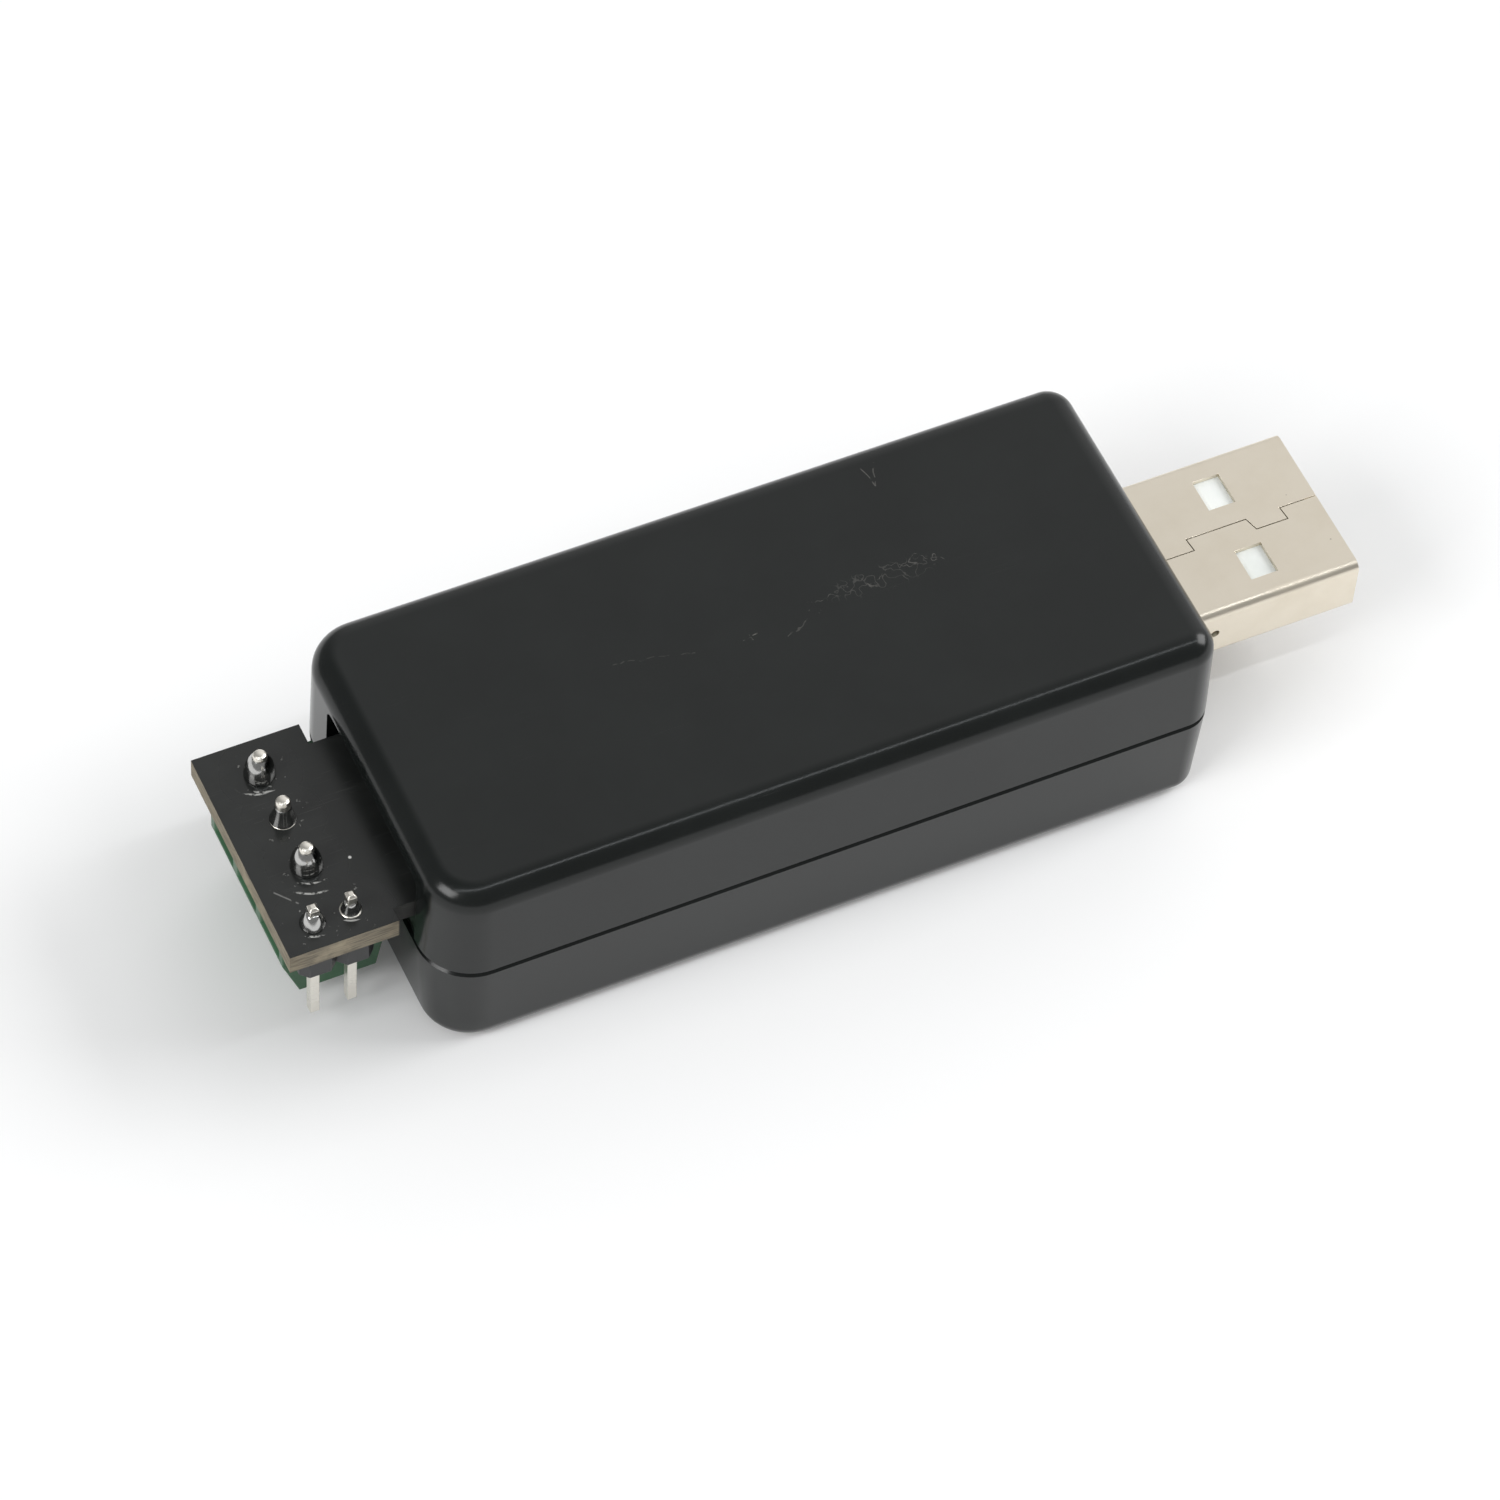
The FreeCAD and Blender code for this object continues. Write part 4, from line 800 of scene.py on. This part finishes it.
class Joinery:
    """Solder shapes turned on a lathe, a little out of round."""

    OVAL, TREFOIL = 0.035, 0.02  # how far out of round, as shares of the radius
    SHIFT = 1.7  # how far the oval turns from heap to heap, in radians
    ROUND_FROM = 2.0  # the height in millimetres from which a heap is round
    TIP_RISE = 0.012 * MM

    @classmethod
    def turned(
        cls, name: str, spots: Iterable[tuple[float, float]], base: float,
        profiles: Iterable[tuple[tuple[float, float], ...]], spokes: int = 28,
    ) -> bpy.types.Object:
        """Turned heaps standing on one level.

        Args:
            name: the piece's name.
            spots: each heap's centre in metres.
            base: the level that they stand on.
            profiles: each heap's outline, as radius and height in millimetres from the foot up.
            spokes: how many faces go round.

        Returns:
            The piece, subdivided.
        """
        bm = bmesh.new()
        for place, ((x, y), profile) in enumerate(zip(spots, profiles)):
            rings = []
            for radius, height in profile:
                ring = []
                for k in range(spokes):
                    turn = 2 * math.pi * k / spokes
                    sway = 1 + cls.OVAL * math.sin(2 * turn + place * cls.SHIFT)
                    sway += cls.TREFOIL * math.sin(3 * turn + place + height)
                    reach = radius * MM * (1 + (sway - 1) * max(0.0, 1 - height / cls.ROUND_FROM))
                    across, along = reach * math.cos(turn), reach * math.sin(turn)
                    ring.append(bm.verts.new((x + across, y + along, base + height * MM)))
                rings.append(ring)
            foot = bm.verts.new((x, y, base + profile[0][1] * MM))
            tip = bm.verts.new((x, y, base + profile[-1][1] * MM + cls.TIP_RISE))
            for k in range(spokes):
                after = (k + 1) % spokes
                bm.faces.new((foot, rings[0][after], rings[0][k]))
                bm.faces.new((tip, rings[-1][k], rings[-1][after]))
                for low, high in zip(rings, rings[1:]):
                    bm.faces.new((low[k], low[after], high[after], high[k]))
        for face in bm.faces:
            face.smooth = True
        piece = to_piece(name, bm)
        smooth = piece.modifiers.new("smooth", "SUBSURF")
        smooth.levels = smooth.render_levels = 2
        return settle(piece)


ROW = {"Count": ("NodeSocketInt", 1), "Start": (VECTOR, ORIGIN), "Step": (VECTOR, ORIGIN)}


class Recipe:
    """A geometry node tree with named inputs, ended by Realize Instances and Set Material."""

    def __init__(self, name: str, inputs: dict[str, tuple[str, Any]]) -> None:
        """Args:
            name: the tree's name.
            inputs: each input's socket type and value.
        """
        self.tree = bpy.data.node_groups.new(name, "GeometryNodeTree")
        self.tree.is_modifier = True
        self.keys: dict[str, str] = {}
        for label, (kind, value) in {**inputs, "Finish": ("NodeSocketMaterial", None)}.items():
            socket = self.tree.interface.new_socket(label, in_out="INPUT", socket_type=kind)
            if value is not None:
                socket.default_value = value
            self.keys[label] = socket.identifier
        self.tree.interface.new_socket("Geometry", in_out="OUTPUT", socket_type="NodeSocketGeometry")
        self.bench = Bench(self.tree)
        self.entry = self.tree.nodes.new("NodeGroupInput")

    def given(self, label: str) -> Socket:
        """The named input."""
        return self.entry.outputs[label]

    def in_row(self, geometry: Socket) -> Socket:
        """Copies of a shape in a straight row, by the inputs that ROW names."""
        points = self.bench.add(
            "GeometryNodeMeshLine",
            {
                "Count": self.given("Count"),
                "Start Location": self.given("Start"),
                "Offset": self.given("Step"),
            },
            mode="OFFSET",
        ).outputs[0]
        copies = {"Points": points, "Instance": geometry}
        return self.bench.add("GeometryNodeInstanceOnPoints", copies).outputs[0]

    def close(self, geometry: Socket) -> "Recipe":
        """Ends the tree. Args: the geometry to realize and dress."""
        plain = self.bench.add("GeometryNodeRealizeInstances", {0: geometry}).outputs[0]
        dressed = self.bench.add(
            "GeometryNodeSetMaterial", {"Geometry": plain, "Material": self.given("Finish")}
        )
        leave = self.tree.nodes.new("NodeGroupOutput")
        self.tree.links.new(dressed.outputs[0], leave.inputs[0])
        return self

    def make(self, name: str, rows: Iterable[dict[str, Any]], slot: str) -> bpy.types.Object:
        """Runs the tree once for each row of values and joins what it gives.

        Args:
            name: the piece's name.
            rows: values for the named inputs, one row for each run.
            slot: the finish.

        Returns:
            The piece, as a plain mesh.
        """
        bm = bmesh.new()
        for row in rows:
            holder = new_object(name + "_run", bpy.data.meshes.new(name + "_run"))
            modifier = holder.modifiers.new("recipe", "NODES")
            modifier.node_group = self.tree
            for label, value in {**row, "Finish": FINISHES[slot].material()}.items():
                modifier[self.keys[label]] = value
            settle(holder)
            bm.from_mesh(holder.data)
            spent = holder.data
            bpy.data.objects.remove(holder)
            bpy.data.meshes.remove(spent)
        bmesh.ops.remove_doubles(bm, verts=bm.verts, dist=WELDED)
        bmesh.ops.recalc_face_normals(bm, faces=bm.faces)
        piece = to_piece(name, bm)
        dress(piece, slot)
        return piece


def thread_recipe() -> Recipe:
    """A helical ridge round an upright shank."""
    recipe = Recipe(
        "screw_thread",
        {
            "Pitch": (FLOAT, 0.4 * MM),
            "Height": (FLOAT, 2 * MM),
            "Radius": (FLOAT, 0.9 * MM),
            "Ridge": (FLOAT, 0.1 * MM),
            "Start": (VECTOR, ORIGIN),
        },
    )
    bench = recipe.bench
    turns = bench.math("DIVIDE", recipe.given("Height"), recipe.given("Pitch"))
    helix = bench.add(
        "GeometryNodeCurveSpiral",
        {
            "Resolution": 28,
            "Rotations": turns,
            "Start Radius": recipe.given("Radius"),
            "End Radius": recipe.given("Radius"),
            "Height": recipe.given("Height"),
        },
    ).outputs[0]
    ridge = bench.add("GeometryNodeCurvePrimitiveCircle", {"Resolution": 6, "Radius": recipe.given("Ridge")})
    swept = bench.add(
        "GeometryNodeCurveToMesh", {"Curve": helix, "Profile Curve": ridge.outputs[0], "Fill Caps": True}
    ).outputs[0]
    moved = bench.add(
        "GeometryNodeTransform", {"Geometry": swept, "Translation": recipe.given("Start")}
    )
    return recipe.close(moved.outputs[0])


def ring_recipe() -> Recipe:
    """A row of flat plated rings."""
    recipe = Recipe(
        "pad_rings",
        {
            **ROW,
            "Radius": (FLOAT, 0.8 * MM),
            "Width": (FLOAT, 0.3 * MM),
            "Rise": (FLOAT, 0.03 * MM),
        },
    )
    bench = recipe.bench
    path = bench.add("GeometryNodeCurvePrimitiveCircle", {"Resolution": 36, "Radius": recipe.given("Radius")})
    section = bench.add(
        "GeometryNodeCurvePrimitiveQuadrilateral",
        {"Width": recipe.given("Width"), "Height": recipe.given("Rise")},
        mode="RECTANGLE",
    )
    ring = bench.add(
        "GeometryNodeCurveToMesh", {"Curve": path.outputs[0], "Profile Curve": section.outputs[0]}
    ).outputs[0]
    return recipe.close(recipe.in_row(ring))


def heap_recipe() -> Recipe:
    """A row of small solder heaps, one under each foot of a chip."""
    recipe = Recipe(
        "lead_heaps",
        {
            **ROW,
            "Size": (VECTOR, (MM, MM, MM)),
        },
    )
    bench = recipe.bench
    frustum = bench.add(
        "GeometryNodeMeshCone",
        {"Vertices": 4, "Radius Top": 0.42, "Radius Bottom": 0.7071, "Depth": 1.0},
    ).outputs[0]
    square = bench.add(
        "GeometryNodeTransform", {"Geometry": frustum, "Rotation": (0, 0, math.pi / 4)}
    ).outputs[0]
    sized = bench.add("GeometryNodeTransform", {"Geometry": square, "Scale": recipe.given("Size")}).outputs[0]
    return recipe.close(recipe.in_row(sized))


# ---------------------------------------------------------------------------------------------
# sub-assemblies
# ---------------------------------------------------------------------------------------------


class Assembly:
    """A sub-assembly: it puts finished pieces on their bodies."""

    def fit(
        self, piece: bpy.types.Object, slot: str, body: str = ROOT, nodes: Iterable[str] = ()
    ) -> bpy.types.Object:
        """Dresses a piece, rides it on its body and says which parts it stands for.

        Args:
            piece: the finished object.
            slot: its material slot.
            body: the body that it moves with.
            nodes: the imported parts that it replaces.

        Returns:
            The piece.
        """
        nodes = tuple(nodes)
        dress(piece, slot)
        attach(piece, body)
        if nodes:
            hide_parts(*nodes)
        report(piece, slot, body, nodes)
        return piece

    def keep(self, *nodes: str) -> None:
        """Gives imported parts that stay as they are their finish."""
        for node in nodes:
            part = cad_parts[node]
            for held in part.material_slots:
                slot = held.material.name.split(".")[0]
                held.material = FINISHES[slot].material()
                log.info("%s: packed part, %s", node, slot)


class CaseShells(Assembly):
    """The two moulded halves of the case."""

    def build(self) -> None:
        """Smooth copies of both shells."""
        for node in ("top_shell", "bottom_shell"):
            piece = refine(node, node.replace("_shell", "_case_half"), sharp=SHEET_TURN)
            self.fit(piece, "case_plastic", nodes=[node])


@dataclass
class PlugEnd(Assembly):
    """The folded metal plug with its insulator, contacts and solder."""

    sheet_edge: float = 0.035 * MM
    insulator_edge: float = 0.06 * MM

    def build(self) -> None:
        """The plug's pieces."""
        tube = refine("usb_plug_shell", "plug_tube", self.sheet_edge, sharp=SHEET_TURN)
        self.fit(tube, "plug_nickel", nodes=["usb_plug_shell"])
        tongue = refine("usb_plug_insulator", "plug_tongue", self.insulator_edge)
        self.fit(tongue, "white_plastic", nodes=["usb_plug_insulator"])
        self.keep("usb_contacts", "usb_contact_solder_joints", "usb_shell_solder_joints")


@dataclass
class BoardTongue(Assembly):
    """The circuit board with its plated rings and its through joints."""

    edge: float = 0.035 * MM
    ring_rise: float = 0.04 * MM
    terminal_step: float = 3.81 * MM
    header_step: float = 2.54 * MM
    terminal_ring: tuple[float, float] = (0.72 * MM, 0.3 * MM)
    header_ring: tuple[float, float] = (0.6 * MM, 0.24 * MM)
    fat: tuple[tuple[float, float], ...] = (
        (1.06, 0.0), (1.07, 0.06), (1.06, 0.25), (1.02, 0.55), (0.95, 0.88), (0.84, 1.2), (0.69, 1.48),
        (0.54, 1.7), (0.38, 1.88), (0.18, 1.98),
    )
    slim: tuple[tuple[float, float], ...] = (
        (0.86, 0.0), (0.87, 0.06), (0.84, 0.18), (0.78, 0.36), (0.7, 0.62), (0.62, 0.92), (0.56, 1.2),
        (0.51, 1.4), (0.41, 1.52), (0.2, 1.58),
    )
    cone: tuple[tuple[float, float], ...] = (
        (0.88, 0.0), (0.88, 0.06), (0.83, 0.2), (0.74, 0.42), (0.62, 0.66), (0.51, 0.86), (0.4, 1.0),
        (0.2, 1.06),
    )
    small_cone: tuple[tuple[float, float], ...] = (
        (0.66, 0.0), (0.64, 0.05), (0.59, 0.18), (0.54, 0.38), (0.49, 0.6), (0.45, 0.8), (0.38, 0.95),
        (0.2, 1.0),
    )

    def build(self) -> None:
        """The board, its rings and its solder."""
        board = refine("circuit_board", "bus_board", self.edge)
        self.fit(board, "board_mask", nodes=["circuit_board"])
        low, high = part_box("circuit_board")
        spots = [(x * MM, y * MM) for x, y in THROUGH_JOINTS]
        terminal = Joinery.turned("terminal_joints", spots[:3], high.z, (self.fat, self.slim, self.fat))
        self.fit(terminal, "solder", nodes=["terminal_solder_joints"])
        header = Joinery.turned("header_joints", spots[3:], high.z, (self.cone, self.small_cone))
        self.fit(header, "solder", nodes=["header_solder_joints"])
        rings = (
            (3, spots[2], (0, self.terminal_step, 0), self.terminal_ring),
            (2, spots[3], (self.header_step, 0, 0), self.header_ring),
        )
        rows = [
            {
                "Count": count, "Start": (*spot, level), "Step": step,
                "Radius": radius, "Width": width, "Rise": self.ring_rise,
            }
            for level in (high.z, low.z)
            for count, spot, step, (radius, width) in rings
        ]
        self.fit(ring_recipe().make("plated_rings", rows, "pin_tin"), "pin_tin")


@dataclass
class ScrewTerminal(Assembly):
    """The three-pole screw terminal under the board's tongue."""

    housing_edge: float = 0.1 * MM
    core: float = 0.84 * MM
    shank: float = 0.98 * MM
    thread: float = 0.95 * MM
    ridge: float = 0.085 * MM
    pitch: float = 0.4 * MM
    head_top: float = 3.0 * MM
    level_slack: float = 0.02 * MM
    radius_slack: float = 0.03 * MM

    def screw(self, pole: int, threads: Recipe) -> None:
        """One screw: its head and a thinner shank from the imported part, and a thread round it.

        Args:
            pole: which screw.
            threads: the recipe that winds the thread.
        """
        node = f"terminal_screw_{pole}"
        low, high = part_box(node)
        centre = (low + high) / 2
        bm = merged(node)
        for vert in bm.verts:
            reach = Vector((vert.co.x - centre.x, vert.co.y - centre.y))
            above = vert.co.z - self.head_top
            on_shank = above > self.level_slack and reach.length > self.core
            at_root = abs(above) < self.level_slack
            if on_shank or (at_root and abs(reach.length - self.shank) < self.radius_slack):
                vert.co.xy = centre.xy + reach * (self.core / reach.length)
        piece = to_piece(f"screw_core_{pole}", bm)
        soften(piece, 0.04 * MM)
        self.fit(settle(piece), "screw_steel", f"screw_{pole}", [node])
        start = self.head_top + self.ridge
        row = {
            "Pitch": self.pitch, "Height": high.z - start - self.ridge, "Radius": self.thread - self.ridge,
            "Ridge": self.ridge, "Start": (centre.x, centre.y, start),
        }
        thread = threads.make(f"screw_thread_{pole}", [row], "screw_steel")
        self.fit(thread, "screw_steel", f"screw_{pole}")

    def build(self) -> None:
        """Housing, screws, clamps and pins."""
        housing = refine("terminal_housing", "terminal_block", self.housing_edge, 3)
        self.fit(housing, "terminal_green", nodes=["terminal_housing"])
        threads = thread_recipe()
        for pole in POLES:
            self.screw(pole, threads)
            clamp = refine(f"wire_clamp_{pole}", f"clamp_cage_{pole}", 0.05 * MM)
            self.fit(clamp, "clamp_nickel", f"clamp_{pole}", [f"wire_clamp_{pole}"])
        self.fit(refine("terminal_pins", "terminal_straps", 0.04 * MM), "pin_tin", nodes=["terminal_pins"])


@dataclass
class JumperHeader(Assembly):
    """The two-pin header beside the terminal."""

    base_edge: float = 0.06 * MM
    pin_edge: float = 0.04 * MM

    def build(self) -> None:
        """Base and pins."""
        block = refine("header_base", "header_block", self.base_edge)
        self.fit(block, "black_plastic", nodes=["header_base"])
        self.fit(refine("header_pins", "header_posts", self.pin_edge), "pin_tin", nodes=["header_pins"])


@dataclass
class InnerParts(Assembly):
    """The parts inside the case, hung from the board's underside."""

    heap_long: float = 0.62 * MM
    heap_wide: float = 0.46 * MM
    heap_rise: float = 0.12 * MM
    heap_inset: float = 0.28 * MM

    def heaps(self) -> None:
        """Solder heaps under the feet of the chips, read from the places of their leads."""
        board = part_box("circuit_board")[0].z
        recipe = heap_recipe()
        rows = []
        for node, count, pitch, sides in (
            ("microcontroller_leads", 8, 0.8 * MM, "xy"),
            ("bus_transceiver_leads", 4, 1.27 * MM, "x"),
        ):
            low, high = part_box(node)
            middle = (low + high) / 2
            span = pitch * (count - 1) / 2
            for axis in sides:
                for end, inward in ((low, self.heap_inset), (high, -self.heap_inset)):
                    if axis == "x":
                        start, step = (end.x + inward, middle.y - span, board), (0, pitch, 0)
                        size = (self.heap_long, self.heap_wide, self.heap_rise)
                    else:
                        start, step = (middle.x - span, end.y + inward, board), (pitch, 0, 0)
                        size = (self.heap_wide, self.heap_long, self.heap_rise)
                    rows.append({"Count": count, "Start": start, "Step": step, "Size": size})
        self.fit(recipe.make("lead_heaps", rows, "solder"), "solder")

    def build(self) -> None:
        """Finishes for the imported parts, and the solder that holds them."""
        crystal = refine("crystal", "crystal_case")
        self.fit(crystal, "crystal_can", nodes=["crystal"])
        self.keep(
            "microcontroller", "microcontroller_leads", "bus_transceiver", "bus_transceiver_leads",
            "voltage_regulator", "regulator_leads", "protection_diode", "protection_diode_leads",
            "power_led", "activity_led", "ceramic_capacitors", "chip_resistors", "resettable_fuse",
            "chip_end_caps",
        )
        self.heaps()


# ---------------------------------------------------------------------------------------------
# studio
# ---------------------------------------------------------------------------------------------


class Lamp(Enum):
    """The studio's soft lamps: place, aim, width, height, power and colour."""

    OVERHEAD = ((0.0, -0.34, 1.2), (0, 0, 0), 1.6, 0.05, 2.2, (0.93, 0.97, 1.0))
    LEFT = ((-1.25, -0.3, 0.95), (0, 0, 0), 0.8, 0.8, 13.0, (1.0, 1.0, 1.0))
    RIGHT = ((1.3, -0.2, 0.9), (0, 0, 0), 0.9, 0.9, 14.0, (1.0, 1.0, 1.0))


@dataclass
class Studio:
    """Pale floor, soft lamps and the camera."""

    azimuth: float = -28.732
    elevation: float = 54.217
    roll: float = 4.927
    lens: float = 163.83
    place: Vector = Vector((-0.126915, -0.226906, 0.362746))
    bright_side: Vector = Vector((0.75, 0.6, 0.55))
    dim: float = 0.3
    bright: float = 0.95
    sky_span: tuple[float, float] = (0.5, 1.05)
    sensor: float = 36.0
    clip: tuple[float, float] = (0.01, 20.0)
    floor_half: float = 2.5
    floor_cloud: float = 0.12
    floor_lift: float = 0.06

    def camera(self) -> None:
        """The camera, turned by azimuth, elevation and roll."""
        az, el, roll = (math.radians(v) for v in (self.azimuth, self.elevation, self.roll))
        back = Vector((math.sin(az) * math.cos(el), -math.cos(az) * math.cos(el), math.sin(el)))
        level = Vector((math.cos(az), math.sin(az), 0))
        rise = back.cross(level)
        right = level * math.cos(roll) + rise * math.sin(roll)
        up = rise * math.cos(roll) - level * math.sin(roll)
        data = bpy.data.cameras.new("studio_camera")
        data.lens, data.sensor_width = self.lens, self.sensor
        data.clip_start, data.clip_end = self.clip
        camera = bpy.data.objects.new("studio_camera", data)
        turn = Matrix((right, up, back)).transposed().to_4x4()
        camera.matrix_world = Matrix.Translation(self.place) @ turn
        bpy.context.scene.collection.objects.link(camera)
        bpy.context.scene.camera = camera

    def lamp(self, lamp: Lamp) -> None:
        """One soft lamp. Args: which."""
        place, aim, width, height, power, colour = lamp.value
        data = bpy.data.lights.new(lamp.name.lower(), "AREA")
        data.shape, data.size, data.size_y = "RECTANGLE", width, height
        data.energy, data.color = power, colour
        light = bpy.data.objects.new(lamp.name.lower(), data)
        light.location = place
        light.rotation_euler = (Vector(aim) - Vector(place)).to_track_quat("-Z", "Y").to_euler()
        bpy.context.scene.collection.objects.link(light)

    def floor(self) -> None:
        """A plain pale floor, with a faint cloud in its colour."""
        bm = bmesh.new()
        bmesh.ops.create_grid(bm, x_segments=1, y_segments=1, size=self.floor_half)
        floor = to_piece("studio_floor", bm)
        material = bpy.data.materials.new("studio_floor_finish")
        material.use_nodes = True
        bench = Bench(material.node_tree)
        material.node_tree.nodes.clear()
        place = bench.add("ShaderNodeTexCoord").outputs["Object"]
        tone = bench.mix(bench.noise(place, self.floor_cloud), grey(0.89), grey(0.91))
        shader = bench.add(
            "ShaderNodeBsdfPrincipled",
            {
                "Base Color": tone,
                "Roughness": 0.9,
                "Emission Color": rgba(grey(1.0)),
                "Emission Strength": self.floor_lift,
            },
        )
        bench.add("ShaderNodeOutputMaterial", {"Surface": shader.outputs[0]})
        floor.data.materials.append(material)

    def sky(self) -> None:
        """A soft dome, brighter behind the object than before it."""
        world = bpy.data.worlds.new("studio_sky")
        world.use_nodes = True
        world.node_tree.nodes.clear()
        bench = Bench(world.node_tree)
        way = bench.add("ShaderNodeTexCoord").outputs["Generated"]
        turn = bench.vector("DOT_PRODUCT", way, self.bright_side.normalized())
        level = bench.fade(turn, *self.sky_span, self.dim, self.bright)
        light = bench.add("ShaderNodeBackground", {"Color": rgba(grey(1.0)), "Strength": level})
        bench.add("ShaderNodeOutputWorld", {"Surface": light.outputs[0]})
        bpy.context.scene.world = world

    def build(self) -> None:
        """The whole studio."""
        self.camera()
        self.floor()
        for lamp in Lamp:
            self.lamp(lamp)
        self.sky()
        bpy.context.scene.view_settings.view_transform = "Standard"
        log.info("studio: %d lamps", len(Lamp))


def main() -> None:
    """Builds the studio and each sub-assembly in order."""
    logging.basicConfig(level=logging.INFO, format="%(message)s")
    Studio().build()
    for assembly in (CaseShells(), PlugEnd(), BoardTongue(), ScrewTerminal(), JumperHeader(), InnerParts()):
        assembly.build()


if __name__ == "__main__":
    main()
